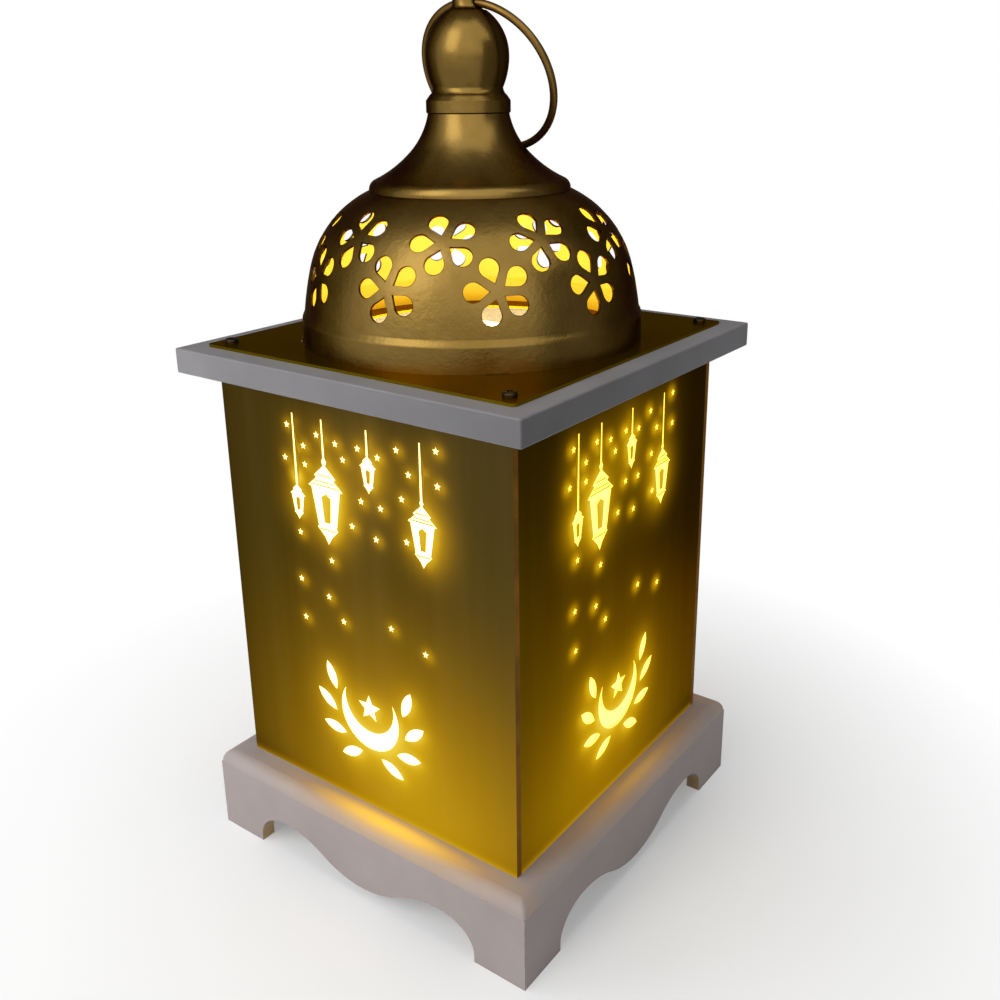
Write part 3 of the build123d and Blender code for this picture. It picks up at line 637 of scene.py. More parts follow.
def make_light_inlay(name, rim, core):
    """Frosted engraved floor: coloured at its rim and whiter in the middle."""
    material, tree, shader = new_material(name, Roughness=0.6, Emission_Strength=1.0)
    frost = place_mottle(tree, (0.75, 0.62, 0.3), (0.85, 0.75, 0.45), 500.0, 3000.0)
    depth = add_node(tree, "ShaderNodeAttribute", attribute_name="core").outputs["Fac"]
    glow = add_ramp(tree, depth, ((0.0, rim), (1.0, core)))
    feed(tree, shader, Base_Color=frost["Color"], Emission_Color=glow)
    return material


def make_lit(name, low, high, scale, strength, gloss=0.5):
    """Surface inside the lamp that glows, slightly uneven; on the panels' inner faces the glow is painted
    light.
    """
    material, tree, shader = new_material(
        name, Roughness=0.6, Emission_Strength=strength, Specular_IOR_Level=gloss
    )
    colour = place_mottle(tree, low, high, scale, 900.0)["Color"]
    feed(tree, shader, Base_Color=colour, Emission_Color=colour)
    return material


# Painted light inside the dome, from orange low down to yellow higher up.
lining_painted_glow = (
    (0.0, (0.62, 0.30, 0.004)), (0.08, (0.82, 0.47, 0.006)), (0.22, (0.90, 0.59, 0.008)),
    (1.0, (0.90, 0.62, 0.012)),
)


def make_lining_painted_light():
    """Painted light on the inside of the dome: a glow, orange near the sheet and yellow higher up."""
    material, tree, shader = new_material("lining_painted_light", Roughness=0.5, Emission_Strength=1.0)
    height = add_split(tree, add_place(tree)["Object"])["Z"]
    rise = add_range(tree, height, From_Min=plate_top, From_Max=dome_top)
    cloud = place_mottle(tree, (0.12, 0.07, 0.01), (0.2, 0.12, 0.02), 60.0, 900.0)
    feed(tree, shader, Base_Color=cloud["Color"], Emission_Color=add_ramp(tree, rise, lining_painted_glow))
    return material


# Finishes
# The side copies of the film and inlay differ from the front ones only in tone: painted light and shade for
# how the light falls on each side.
gold_film_front = make_gold_film("gold_film_front", (0.054, 0.036, 0.008), (0.080, 0.054, 0.015))
gold_film_side = make_gold_film("gold_film_side", (0.074, 0.045, 0.003), (0.106, 0.068, 0.007))
inlay_front = make_light_inlay("light_inlay_front", (1.0, 0.80, 0.22), (1.0, 0.97, 0.80))
inlay_side = make_light_inlay("light_inlay_side", (1.0, 0.68, 0.02), (1.0, 0.87, 0.14))
panel_edge = make_lit("raw_acrylic_edge", (0.055, 0.024, 0.002), (0.110, 0.046, 0.003), 60.0, 0.7, 0.05)
# Painted light: the panels' inner faces glow as if lit by the lamp.
painted_light_inside = make_lit("panel_inside_painted_light", (1.0, 0.86, 0.50), (1.0, 0.93, 0.66), 20.0, 2.0)
dome_bronze = make_bronze("dome_bronze", (0.138, 0.083, 0.017), (0.192, 0.122, 0.031), (0.25, 0.34), 0.22)
neck_bronze = make_bronze("neck_bronze", (0.130, 0.078, 0.016), (0.180, 0.113, 0.028), (0.23, 0.32), 0.12)
ring_bronze = make_bronze("ring_bronze", (0.110, 0.058, 0.012), (0.190, 0.112, 0.028), (0.28, 0.42), 0.12)
lining_painted_light = make_lining_painted_light()
# Dark petal walls and lips: the cut metal's own dark colour, with painted shade along each petal's edge.
petal_edge_and_shade = make_finish(
    "petal_edge_and_shade", (0.05, 0.024, 0.003), (0.09, 0.046, 0.006), (0.3, 0.45),
    Metallic=1.0, Specular_Tint=(0.3, 0.2, 0.08),
)
# Dark and light colour, roughness, cloud scale, grain scale and grain
plain_looks = {
    "raw_wood": ((0.36, 0.24, 0.12), (0.52, 0.37, 0.20), (0.6, 0.8), 25.0, 300.0, 0.2),
    "dark_screw": ((0.018, 0.012, 0.006), (0.05, 0.034, 0.016), (0.25, 0.45), 400.0, 2500.0, 0.1),
    "zinc_steel": ((0.45, 0.45, 0.46), (0.62, 0.62, 0.63), (0.25, 0.4), 200.0, 1800.0, 0.1),
    "white_board": ((0.72, 0.72, 0.68), (0.82, 0.82, 0.78), (0.35, 0.5)),
    "black_plastic": ((0.018, 0.018, 0.019), (0.032, 0.032, 0.034), (0.45, 0.6), 90.0, 2500.0, 0.3),
    "switch_plastic": ((0.05, 0.05, 0.05), (0.08, 0.08, 0.08), (0.4, 0.55), 200.0, 2500.0, 0.3),
    "cell_can": ((0.05, 0.055, 0.06), (0.09, 0.10, 0.11), (0.25, 0.4), 80.0, 900.0, 0.05),
    "lead_red": ((0.32, 0.02, 0.015), (0.42, 0.03, 0.02), (0.35, 0.5), 300.0, 2000.0, 0.1),
    "lead_black": ((0.014, 0.014, 0.014), (0.028, 0.028, 0.028), (0.35, 0.5), 300.0, 2000.0, 0.1),
}
metallic_shares = {"dark_screw": 1.0, "zinc_steel": 1.0, "cell_can": 0.6}
slot_finishes = {
    "painted_board": make_painted_board(
        "painted_board", (0.296, 0.252, 0.244), (0.350, 0.302, 0.292), cut_ends=True
    ),
    "gold_sheet": make_finish(
        "gold_sheet", (0.240, 0.160, 0.003), (0.320, 0.218, 0.006), (0.14, 0.24), 14.0, 500.0, 0.02,
        Metallic=0.95, Specular_IOR_Level=0.0, Specular_Tint=(0.45, 0.32, 0.12),
    ),
    "led_lens": make_lit("led_lens", (1.0, 0.80, 0.35), (1.0, 0.88, 0.50), 300.0, 3.0),
    "gold_panel": gold_film_front,
    "bronze_metal": dome_bronze,
    "bronze_wire": ring_bronze,
}
for label, look in plain_looks.items():
    slot_finishes[label] = make_finish(label, *look, Metallic=metallic_shares.get(label, 0.0))
board_paints = {
    # The base's board carries painted light on its ledge.
    "base_top": make_painted_board(
        "painted_base", (0.318, 0.272, 0.262), (0.376, 0.325, 0.312), paint_ledge_light=True
    ),
    # The tray's paint is a darker copy of the boards' white paint: painted shade.
    "tray": make_painted_board(
        "tray_paint_in_shade", (0.190, 0.184, 0.192), (0.230, 0.224, 0.234),
        shaded_corner=(tray_half, -tray_half, plate_top),
    ),
}


# Smooth curved CAD faces without touching their meshes
def make_smoothing():
    """Geometry group that shades a mesh smooth except over sharp edges."""
    group = bpy.data.node_groups.new("smooth_curves", "GeometryNodeTree")
    for way in ("INPUT", "OUTPUT"):
        group.interface.new_socket("Geometry", in_out=way, socket_type="NodeSocketGeometry")
    given, result = group.nodes.new("NodeGroupInput").outputs, group.nodes.new("NodeGroupOutput")
    weld = add_node(group, "GeometryNodeMergeByDistance", given[0], Distance=weld_distance)
    angle = add_node(group, "GeometryNodeInputMeshEdgeAngle").outputs["Unsigned Angle"]
    gentle = add_node(
        group, "FunctionNodeCompare", angle, cad_crease, data_type="FLOAT", operation="LESS_THAN"
    ).outputs["Result"]
    faces = add_node(group, "GeometryNodeSetShadeSmooth", weld.outputs["Geometry"], domain="FACE")
    edges = add_node(
        group, "GeometryNodeSetShadeSmooth", faces.outputs["Geometry"], domain="EDGE", Shade_Smooth=gentle
    )
    feed(group, result, Geometry=edges.outputs["Geometry"])
    return group


smooth_curves = make_smoothing()
for part in frame["record"]["subparts"]:
    node = nodes[part["node"]]
    finish = board_paints.get(part["node"], slot_finishes[part["material_slot"]])
    node.data.materials.clear()
    node.data.materials.append(finish)
    smoothing = node.modifiers.new("smooth_curves", "NODES")
    smoothing.node_group = smooth_curves
    evening = node.modifiers.new("even_faces", "WEIGHTED_NORMAL")
    evening.keep_sharp = True


# Engraved panels
def star_outline(centre, radius):
    """Five-pointed star about a point."""
    outline = []
    for step in range(2 * star_points):
        reach = radius if step % 2 == 0 else radius * star_waist_share
        angle = pi / 2 + step * pi / star_points
        outline.append((centre[0] + reach * cos(angle), centre[1] + reach * sin(angle)))
    return outline


def lantern_outline(tip, size, shares):
    """Outline of a hanging lantern, mirrored about its string, with its tip at a point."""
    right = [(x * size[0] / 2, y * size[1]) for x, y in shares]
    left = [(-x, y) for x, y in reversed(right) if x > 0]
    return [(tip[0] + x, tip[1] + y) for x, y in right + left]


def bar_outline(middle, low, high, low_width, high_width):
    """Upright bar about a line, with its own width at each end."""
    return [
        (middle - low_width / 2, low), (middle + low_width / 2, low),
        (middle + high_width / 2, high), (middle - high_width / 2, high),
    ]


def leaf_outline(centre, turn):
    """Pointed leaf between two equal arcs."""
    upper, _ = bowed_arc((-leaf_length / 2, 0), (0, leaf_width / 2), (leaf_length / 2, 0), steps=10)
    lower = [(x, -y) for x, y in reversed(upper[1:-1])]
    return [
        (centre[0] + x * cos(turn) - y * sin(turn), centre[1] + x * sin(turn) + y * cos(turn))
        for x, y in upper + lower
    ]


def crescent_outline(centre):
    """Lying crescent: a disc less a smaller disc moved up."""
    bite = crescent_radius * crescent_bite_share
    shift = crescent_radius * crescent_shift_share
    meet = (crescent_radius**2 - bite**2 + shift**2) / (2 * shift)
    half = sqrt(crescent_radius**2 - meet**2)
    outer, _ = bowed_arc((-half, meet), (0, -crescent_radius), (half, meet), steps=48)
    inner, _ = bowed_arc((half, meet), (0, shift - bite), (-half, meet), steps=40)
    return [(centre[0] + x, centre[1] + y) for x, y in outer + inner[1:-1]]


def ornament_outlines():
    """Lit outlines and the dark outlines inside them, across and up from the panel's foot."""
    lit, dark = [], []
    for across, up in star_place_shares:
        lit.append(star_outline((across * body_half, up * panel_height), star_radius))
    for across, up, size in lantern_tips:
        tip = (across * body_half, up * panel_height)
        lit.append(lantern_outline(tip, size, lantern_edge_shares))
        head_width, foot_width = string_widths
        foot = tip[1] + size[1] - foot_width
        lit.append(bar_outline(tip[0], foot, panel_height - string_head, foot_width, head_width))
        dark.append(lantern_outline(tip, size, lantern_pane_shares))
        if size is small_lantern:
            continue
        for reach, rise in roof_line_shares:
            width, middle = reach * size[0], tip[1] + rise * size[1]
            low, high = middle - roof_line_width / 2, middle + roof_line_width / 2
            dark.append(bar_outline(tip[0], low, high, width, width))
    middle = (0.0, medal_centre_share * panel_height)
    lit.append(crescent_outline(middle))
    lit.append(star_outline((0.0, middle[1] + crescent_radius * medal_star_rise_share), medal_star_radius))
    reach = crescent_radius * leaf_ring_share
    for turn in leaf_turns:
        angle, tilt = radians(turn), radians(turn + leaf_tilt)
        rise = middle[1] + reach * sin(angle)
        lit.append(leaf_outline((reach * cos(angle), rise), tilt))
        lit.append(leaf_outline((-reach * cos(angle), rise), -tilt))
    return lit, dark


def turns_left(outline):
    """Whether an outline runs anticlockwise."""
    spots = np.array(outline)
    after = np.roll(spots, -1, axis=0)
    return (spots[:, 0] * after[:, 1] - spots[:, 1] * after[:, 0]).sum() > 0


def panel_triangles(half_width, lit, dark):
    """Conforming triangles of a panel's face, and which of them are engraved."""
    all_triangles, merge_gap = 0, 1e-4
    points, loops = [], []
    columns, rows = round(2 * half_width / panel_grid), round(panel_height / panel_grid)
    for row in range(rows + 1):
        for column in range(columns + 1):
            points.append((-half_width + 2 * half_width * column / columns, panel_height * row / rows))
    for outline in lit + dark:
        loops.append(list(range(len(points), len(points) + len(outline))))
        points.extend(outline if turns_left(outline) else outline[::-1])
    scaled = [Vector((x / mm, y / mm)) for x, y in points]
    spots, _, triangles, _, _, owners = delaunay_2d_cdt(scaled, [], loops, all_triangles, merge_gap)
    engraved = []
    for owner in owners:
        inside_lit = any(index < len(lit) for index in owner)
        inside_dark = any(index >= len(lit) for index in owner)
        engraved.append(inside_lit and not inside_dark)
    return np.array([tuple(spot) for spot in spots]) * mm, triangles, np.array(engraved)


def blurred(spots, sources, weights, spread):
    """Share of lit area near each spot, for one spread of the light."""
    total = np.zeros(len(spots))
    for start in range(0, len(spots), spots_at_once):
        part = slice(start, start + spots_at_once)
        gaps = ((spots[part, None, :] - sources[None, :, :]) ** 2).sum(axis=2)
        total[part] = (np.exp(-gaps / (2 * spread**2)) * weights).sum(axis=1)
    return total / (2 * pi * spread**2)


def round_spot(spots, middle, spread):
    """Round patch of light about a point of the panel."""
    return np.exp(-((spots - middle) ** 2).sum(axis=1) / (2 * spread**2))


def panel_glow(spots, triangles, engraved, halo_shift, pools, star_power):
    """How brightly each spot of the film is lit from behind."""
    panel_size = np.array((body_half, panel_height))
    corners = spots[np.array(triangles)[engraved]]
    sources = corners.mean(axis=1) + np.array(halo_shift)
    first, second = corners[:, 1] - corners[:, 0], corners[:, 2] - corners[:, 0]
    weights = np.abs(first[:, 0] * second[:, 1] - first[:, 1] * second[:, 0]) / 2
    light = foot_line_power * np.exp(-spots[:, 1] ** 2 / (2 * foot_line_spread**2))
    for spread, share in halo_spreads:
        light += share * blurred(spots, sources, weights, spread)
    for place in star_place_shares:
        star = np.array(place) * panel_size + np.array(halo_shift) / 2
        light += star_power * round_spot(spots, star, star_halo_spread)
    for *place, spread, power in pools:
        light += power * round_spot(spots, np.array(place) * panel_size, spread)
    return 1 - np.exp(-light)


def forward_edge(triangle, edge):
    """An edge's ends in the order in which a triangle runs through them."""
    start, end = edge
    return (start, end) if triangle[(triangle.index(start) + 1) % 3] == end else (end, start)


def engraved_mesh(spots, triangles, engraved, place):
    """Vertices, faces with the finish of each, the sunk copies of spots, and the spots on a rim."""
    film, inlay, raw_edge, inside = range(4)
    vertices = [place(spot, 0) for spot in spots]
    faces, kinds, sunk, edge_sides = [], [], {}, {}
    for index, triangle in enumerate(triangles):
        for corner in range(3):
            edge_sides.setdefault(frozenset((triangle[corner], triangle[corner - 1])), []).append(index)
        if engraved[index]:
            faces.append(tuple(sunk.setdefault(vertex, len(spots) + len(sunk)) for vertex in triangle))
            kinds.append(inlay)
        else:
            faces.append(tuple(triangle))
            kinds.append(film)
    vertices.extend(place(spots[vertex], engrave_depth) for vertex in sunk)
    rim_spots, border = set(), {}
    for edge, sides in edge_sides.items():
        if len(sides) == 1:
            start, end = forward_edge(triangles[sides[0]], edge)
            border[start] = end
        elif engraved[sides[0]] != engraved[sides[1]]:
            low_side = sides[0] if engraved[sides[0]] else sides[1]
            start, end = forward_edge(triangles[low_side], edge)
            faces.append((start, end, sunk[end], sunk[start]))
            kinds.append(inlay)
            rim_spots.update((start, end))
    ring = [next(iter(border))]
    while border[ring[-1]] != ring[0]:
        ring.append(border[ring[-1]])
    back = len(vertices)
    vertices.extend(place(spots[vertex], panel_thickness) for vertex in ring)
    for index, vertex in enumerate(ring):
        after = (index + 1) % len(ring)
        faces.append((vertex, back + index, back + after, ring[after]))
        kinds.append(raw_edge)
    faces.append(tuple(reversed(range(back, back + len(ring)))))
    kinds.append(inside)
    return vertices, faces, kinds, sunk, rim_spots


def engraved_panel(name, replaced, turn, half_width, finishes, pools, star_power, halo_shift):
    """One panel: gold face with the ornament sunk into it, raw edges and a back with painted light."""
    spots, triangles, engraved = panel_triangles(half_width, *ornament_outlines())
    outward, along = Vector((sin(turn), -cos(turn), 0)), Vector((cos(turn), sin(turn), 0))

    def place(spot, depth):
        return outward * (body_half - depth) + along * spot[0] + Vector((0, 0, panel_foot + spot[1]))

    vertices, faces, kinds, sunk, rim_spots = engraved_mesh(spots, triangles, engraved, place)
    panel = add_piece(name, vertices, faces, finishes, "lantern", replaced)
    for polygon, kind in zip(panel.data.polygons, kinds):
        polygon.material_index = kind
    glow, core = np.zeros(len(vertices)), np.zeros(len(vertices))
    glow[:len(spots)] = panel_glow(spots, triangles, engraved, halo_shift, pools, star_power)
    for vertex, deep in sunk.items():
        core[deep] = rim_core_share if vertex in rim_spots else 1.0
    for label, values in (("glow", glow), ("core", core)):
        panel.data.attributes.new(label, "FLOAT", "POINT").data.foreach_set("value", values)


# The back panel takes the front's tones and the left panel the side's, painted light and shade included.
front_look = ((gold_film_front, inlay_front, panel_edge, painted_light_inside), front_pools, front_star_power)
side_look = ((gold_film_side, inlay_side, panel_edge, painted_light_inside), side_pools, side_star_power)
front_shift, right_shift, no_shift = (2.2 * mm, -0.3 * mm), (-2.6 * mm, 0.2 * mm), (0, 0)
engraved_panel("panel_front_lit", ("panel_front",), 0, body_half, *front_look, front_shift)
engraved_panel("panel_right_lit", ("panel_right",), pi / 2, side_half, *side_look, right_shift)
engraved_panel("panel_back_lit", ("panel_back",), pi, body_half, *front_look, no_shift)
engraved_panel("panel_left_lit", ("panel_left",), 3 * pi / 2, side_half, *side_look, no_shift)

# Dome: turned shell with the flowers cut through it
bead_foot = (dome_radius - band_lean, plate_top + band_height)
bead_top = (dome_radius - bead_step, bead_foot[1] + bead_height)
shoulder_foot = (shoulder_radius, plate_top + shoulder_rise)
side_middle = ((bead_top[0] + shoulder_foot[0]) / 2 + side_bow, (bead_top[1] + shoulder_foot[1]) / 2)
bead_run = []
for bead_share in np.linspace(0, 1, bead_points):
    eased = bead_share**2 * (3 - 2 * bead_share)
    bead_run.append((
        bead_foot[0] + (bead_top[0] - bead_foot[0]) * eased, bead_foot[1] + bead_height * bead_share
    ))
side_run, side_end = bowed_arc(bead_top, side_middle, shoulder_foot, steps=16)
shoulder_run, _ = swept_arc(shoulder_foot, (crown_radius, dome_top), side_end, steps=48)
dome_outline = joined(
    straight_runs((dome_radius, plate_top), 2, (dome_radius, plate_top + band_foot), 6, bead_foot),
    bead_run,
    side_run,
    shoulder_run,
    straight_runs((crown_radius, dome_top), 8, (stud_radius + stud_gap, dome_top)),
)
outline_spots, outline_out = outline_normals(dome_outline)
lining_outline = [
    (spot[0] - out[0] * dome_wall, max(spot[1] - out[1] * dome_wall, plate_top))
    for spot, out in zip(outline_spots, outline_out)
]
shell_outline = dome_outline + lining_outline[::-1] + dome_outline[:1]


def petal_outline(grow):
    """One petal pointing to its flower's middle, grown evenly by a width."""
    narrowing = petal_radius / (petal_reach - petal_tip)
    opening = pi - acos(narrowing)
    radius = petal_radius + grow
    outline = [(petal_tip - grow / narrowing, 0.0)]
    for step in range(petal_steps + 1):
        angle = opening * (2 * step / petal_steps - 1)
        outline.append((petal_reach + radius * cos(angle), radius * sin(angle)))
    return np.array(outline)


def flower_rows():
    """Where each row crosses the outline, its outward direction, and its first turn."""
    step = 2 * pi / flowers_per_row
    upper = round(upper_row_share * (len(shoulder_run) - 1))
    for index, phase in ((0, radians(row_phase)), (upper, radians(row_phase) + step / 2)):
        spot = shoulder_run[index]
        near = int(np.hypot(outline_spots[:, 0] - spot[0], outline_spots[:, 1] - spot[1]).argmin())
        yield spot, outline_out[near], phase


def flat_petals(grow=0.0):
    """Flat petals of one flower in each row, facing +X, with the way out of the dome and the first turn."""
    outline = petal_outline(grow)
    for spot, out, phase in flower_rows():
        outward, up = np.array((out[0], 0, out[1])), np.array((-out[1], 0, out[0]))
        for petal in range(petals_per_flower):
            turn = (2 * petal + 1) * pi / petals_per_flower
            across = outline[:, :1] * cos(turn) - outline[:, 1:] * sin(turn)
            rise = outline[:, :1] * sin(turn) + outline[:, 1:] * cos(turn)
            yield np.array((spot[0], 0, spot[1])) + across * np.array((0, 1, 0)) + rise * up, outward, phase


def round_the_row(points, phase):
    """Points of one flower repeated at every flower of its row."""
    for flower in range(flowers_per_row):
        angle = phase + 2 * pi * flower / flowers_per_row
        x, y, z = points.T
        yield np.stack([x * cos(angle) - y * sin(angle), x * sin(angle) + y * cos(angle), z], axis=1)


def petal_prisms():
    """Closed prisms through the dome, one for each petal."""
    vertices, faces = [], []
    for flat, outward, phase in flat_petals():
        ends = [flat + level * outward for level in (petal_cut_rise, petal_cut_rise - petal_cut)]
        for prism in round_the_row(np.concatenate(ends), phase):
            faces.extend(prism_faces(len(vertices), len(flat)))
            vertices.extend(map(tuple, prism))
    return vertices, faces


def petals_on_dome(grow, lift):
    """Outline of every petal laid on the dome's outside, lifted off it by a height."""
    wall = np.array(joined(side_run, shoulder_run))
    petals = []
    for flat, outward, phase in flat_petals(grow):
        low, high = np.full(len(flat), -petal_cut), np.full(len(flat), petal_cut_rise)
        for _ in range(halvings):
            middle = (low + high) / 2
            trial = flat + middle[:, None] * outward
            outside = np.hypot(trial[:, 0], trial[:, 1]) > np.interp(trial[:, 2], wall[:, 1], wall[:, 0])
            high = np.where(outside, middle, high)
            low = np.where(outside, low, middle)
        petals.extend(round_the_row(flat + (low + lift)[:, None] * outward, phase))
    return petals


def add_petal_lips():
    """Thin closed lip round every petal, rooted in the dome's wall, dark with painted shade along the edge.
    """
    roots, crests = petals_on_dome(0.0, -lip_root), petals_on_dome(0.0, lip_lift)
    skirts = petals_on_dome(lip_width, -lip_lift)
    vertices, faces = [], []
    for loops in zip(roots, crests, skirts):
        faces.extend(grid_faces(len(vertices), len(loops), len(loops[0]), loop_rows=True))
        vertices.extend(map(tuple, np.concatenate(loops)))
    lips = add_piece("petal_lips", vertices, faces, (petal_edge_and_shade,), "lantern")


def add_dome():
    """Dome with its flowers cut through: bronze outside, painted light on the lining inside, dark petal walls
    partly in painted shade.
    """
    bronze, lining, wall = range(3)
    finishes = (dome_bronze, lining_painted_light, petal_edge_and_shade)
    dome = add_piece("dome_pierced", *spun(shell_outline), finishes, "lantern", ("dome_shell",))
    cut_with(dome, add_piece("petal_cutter", *petal_prisms(), (), None))
    nearest, turned = smooth_turned(dome, joined(dome_outline, lining_outline[::-1]))
    for polygon in dome.data.polygons:
        votes = [nearest[vertex] < len(dome_outline) for vertex in polygon.vertices]
        likeness = max(abs(polygon.normal.dot(Vector(turned[vertex]))) for vertex in polygon.vertices)
        if likeness < cut_crease:
            polygon.material_index = wall
        else:
            polygon.material_index = lining if sum(votes) * 2 < len(votes) else bronze


def add_dome_tabs():
    """Tabs that go through the plate's slots and are bent in under it."""
    inner, tip = tab_radius - dome_wall, tab_radius - tab_length
    foot = plate_under - dome_wall
    outline = (
        (tab_radius, plate_top), (tab_radius, foot), (tip, foot), (tip, plate_under),
        (inner, plate_under), (inner, plate_top),
    )
    vertices, faces = [], []
    for tab in range(tab_count):
        angle = radians(tab_start + 360 * tab / tab_count)
        outward, along = Vector((cos(angle), sin(angle), 0)), Vector((-sin(angle), cos(angle), 0))
        faces.extend(prism_faces(len(vertices), len(outline)))
        for side in (tab_width / 2, -tab_width / 2):
            vertices.extend(outward * reach + along * side + Vector((0, 0, rise)) for reach, rise in outline)
    tabs = add_piece("dome_tabs", vertices, faces, (dome_bronze,), "lantern")


add_dome()
add_petal_lips()
add_dome_tabs()

# Neck
lip_top = dome_top + neck_lip_height
flare_foot = (neck_lip_radius - neck_lip_inset, lip_top + neck_lip_rise)
flare_bend = (
    neck_radius + (neck_lip_radius - neck_radius) * neck_bend_shares[0],
    dome_top + (neck_top - dome_top) * neck_bend_shares[1],
)
upper_run, upper_end = swept_arc((neck_radius, neck_top), flare_bend, (neck_lean, -1), steps=28)
lower_run, _ = swept_arc(flare_bend, flare_foot, upper_end, steps=28)
lip_run, _ = swept_arc((neck_lip_radius, lip_top), flare_foot, (0, 1), steps=8)
neck_outline = joined(
    straight_runs((axis_gap, dome_top), 3, (neck_lip_radius, dome_top), 3, (neck_lip_radius, lip_top)),
    lip_run,
    lower_run[::-1],
    upper_run[::-1],
    straight_runs((neck_radius, neck_top), 3, (axis_gap, neck_top)),
)


def add_turned(name, outline, finish, replaced, cutter=None):
    """Turned piece with smooth curves and crisp corners."""
    piece = add_piece(name, *spun(outline), (finish,), "lantern", replaced)
    if cutter:
        cut_with(piece, cutter)
    piece.data.shade_smooth()
    piece.data.set_sharp_from_angle(angle=turned_crease)


add_turned("neck_spun", neck_outline, neck_bronze, ("neck_flare",))

# Finial, with the cross hole for the ring
collar_top = neck_top + collar_height
cove_bottom = collar_top + collar_slope
bulb_bottom = cove_bottom + cove_height
bulb_top = bulb_bottom + bulb_height
bulb_waist = (bulb_radius, bulb_bottom + bulb_height * bulb_swell_share)
stem_foot = (stem_radius, bulb_top + stem_flare)
stem_shoulder = (stem_radius, stem_top - stem_round)
stem_end = (stem_radius - stem_round, stem_top)
ring_hole_z = bulb_top + ring_hole_rise
cove_run, _ = swept_arc((bulb_foot_radius, bulb_bottom), (cove_radius, cove_bottom), (0, -1), steps=12)
belly_run, _ = swept_arc(bulb_waist, (bulb_foot_radius, bulb_bottom), (0, -1), steps=22)
crown_run, _ = swept_arc(bulb_waist, (bulb_top_radius, bulb_top), (0, 1), steps=28)
flare_run, _ = swept_arc(stem_foot, (bulb_top_radius, bulb_top), (0, -1), steps=10)
stem_end_run, _ = swept_arc(stem_shoulder, stem_end, (0, 1), steps=10)
finial_outline = joined(
    straight_runs(
        (axis_gap, neck_top), 3, (collar_radius - collar_break, neck_top),
        2, (collar_radius, neck_top + collar_break), 4, (collar_radius, collar_top),
        3, (cove_radius, cove_bottom),
    ),
    cove_run[::-1],
    belly_run[::-1],
    crown_run,
    flare_run[::-1],
    straight_runs(stem_foot, 6, stem_shoulder),
    stem_end_run,
    straight_runs(stem_end, 2, (axis_gap, stem_top)),
)


def cross_drill():
    """Rod through the stem from left to right, as wide as the ring's hole."""
    vertices = []
    for side in (bulb_radius, -bulb_radius):
        for step in range(ring_hole_steps):
            angle = 2 * pi * step / ring_hole_steps
            across, rise = ring_hole_radius * cos(angle), ring_hole_radius * sin(angle)
            vertices.append((side, across, ring_hole_z + rise))
    return add_piece("cross_drill", vertices, prism_faces(0, ring_hole_steps), (), None)


add_turned("finial_turned", finial_outline, neck_bronze, ("finial",), cross_drill())


# Ring
def add_ring():
    """Closed wire ring through the finial's cross hole, leaning back."""
    stem_sagitta = ring_radius - sqrt(ring_radius**2 - stem_radius**2)
    drop = ring_radius - stem_sagitta / 2
    lean = radians(ring_lean)
    middle = Vector((0, drop * cos(lean), ring_hole_z - drop * sin(lean)))
    side, rise = Vector((1, 0, 0)), Vector((0, -cos(lean), sin(lean)))
    facing = side.cross(rise)
    vertices = []
    for step in range(ring_steps):
        angle = 2 * pi * step / ring_steps
        spoke = side * cos(angle) + rise * sin(angle)
        for wire_step in range(ring_wire_steps):
            around = 2 * pi * wire_step / ring_wire_steps
            reach = ring_radius + ring_wire_radius * cos(around)
            vertices.append(middle + spoke * reach + facing * ring_wire_radius * sin(around))
    faces = grid_faces(0, ring_steps, ring_wire_steps, loop_rows=True)
    ring = add_piece("hang_ring_wire", vertices, faces, (ring_bronze,), "ring", ("hang_ring",))
    ring.data.shade_smooth()


add_ring()


# Studio: pale floor, white surroundings, soft lamps
def seen_directly(tree):
    """Whether a ray comes from the camera, a mirror or glass."""
    path = add_node(tree, "ShaderNodeLightPath").outputs
    seen = add_math(tree, "MAXIMUM", path["Is Camera Ray"], path["Is Glossy Ray"])
    return add_math(tree, "MAXIMUM", seen, path["Is Transmission Ray"])


def make_pale_floor():
    """Pale matt floor that fades to white away from the lantern."""
    material, tree, shader = new_material("pale_floor", Roughness=0.9, Specular_IOR_Level=0.1)
    cloud = place_mottle(tree, (0.86, 0.86, 0.86), (0.90, 0.90, 0.90), 3.0, 400.0)
    feed(tree, shader, Base_Color=cloud["Color"])
    far = add_node(tree, "ShaderNodeVectorMath", add_place(tree)["Object"], operation="LENGTH")
    fade = add_range(tree, far.outputs["Value"], From_Min=0.10, From_Max=0.30, To_Min=0.25)
    white = add_node(tree, "ShaderNodeEmission", Strength=1.0)
    share = add_math(tree, "MULTIPLY", seen_directly(tree), fade)
    mix = add_node(tree, "ShaderNodeMixShader", share, shader.outputs["BSDF"], white.outputs["Emission"])
    feed(tree, tree.nodes["Material Output"], Surface=mix.outputs["Shader"])
    return material


floor_reach = 6.0
floor_corners = [(x * floor_reach, y * floor_reach, 0) for x, y in ((-1, -1), (1, -1), (1, 1), (-1, 1))]
floor = add_piece("studio_floor", floor_corners, [(0, 1, 2, 3)], (make_pale_floor(),), None)

cloth_steps = 32
weave_share = 0.8


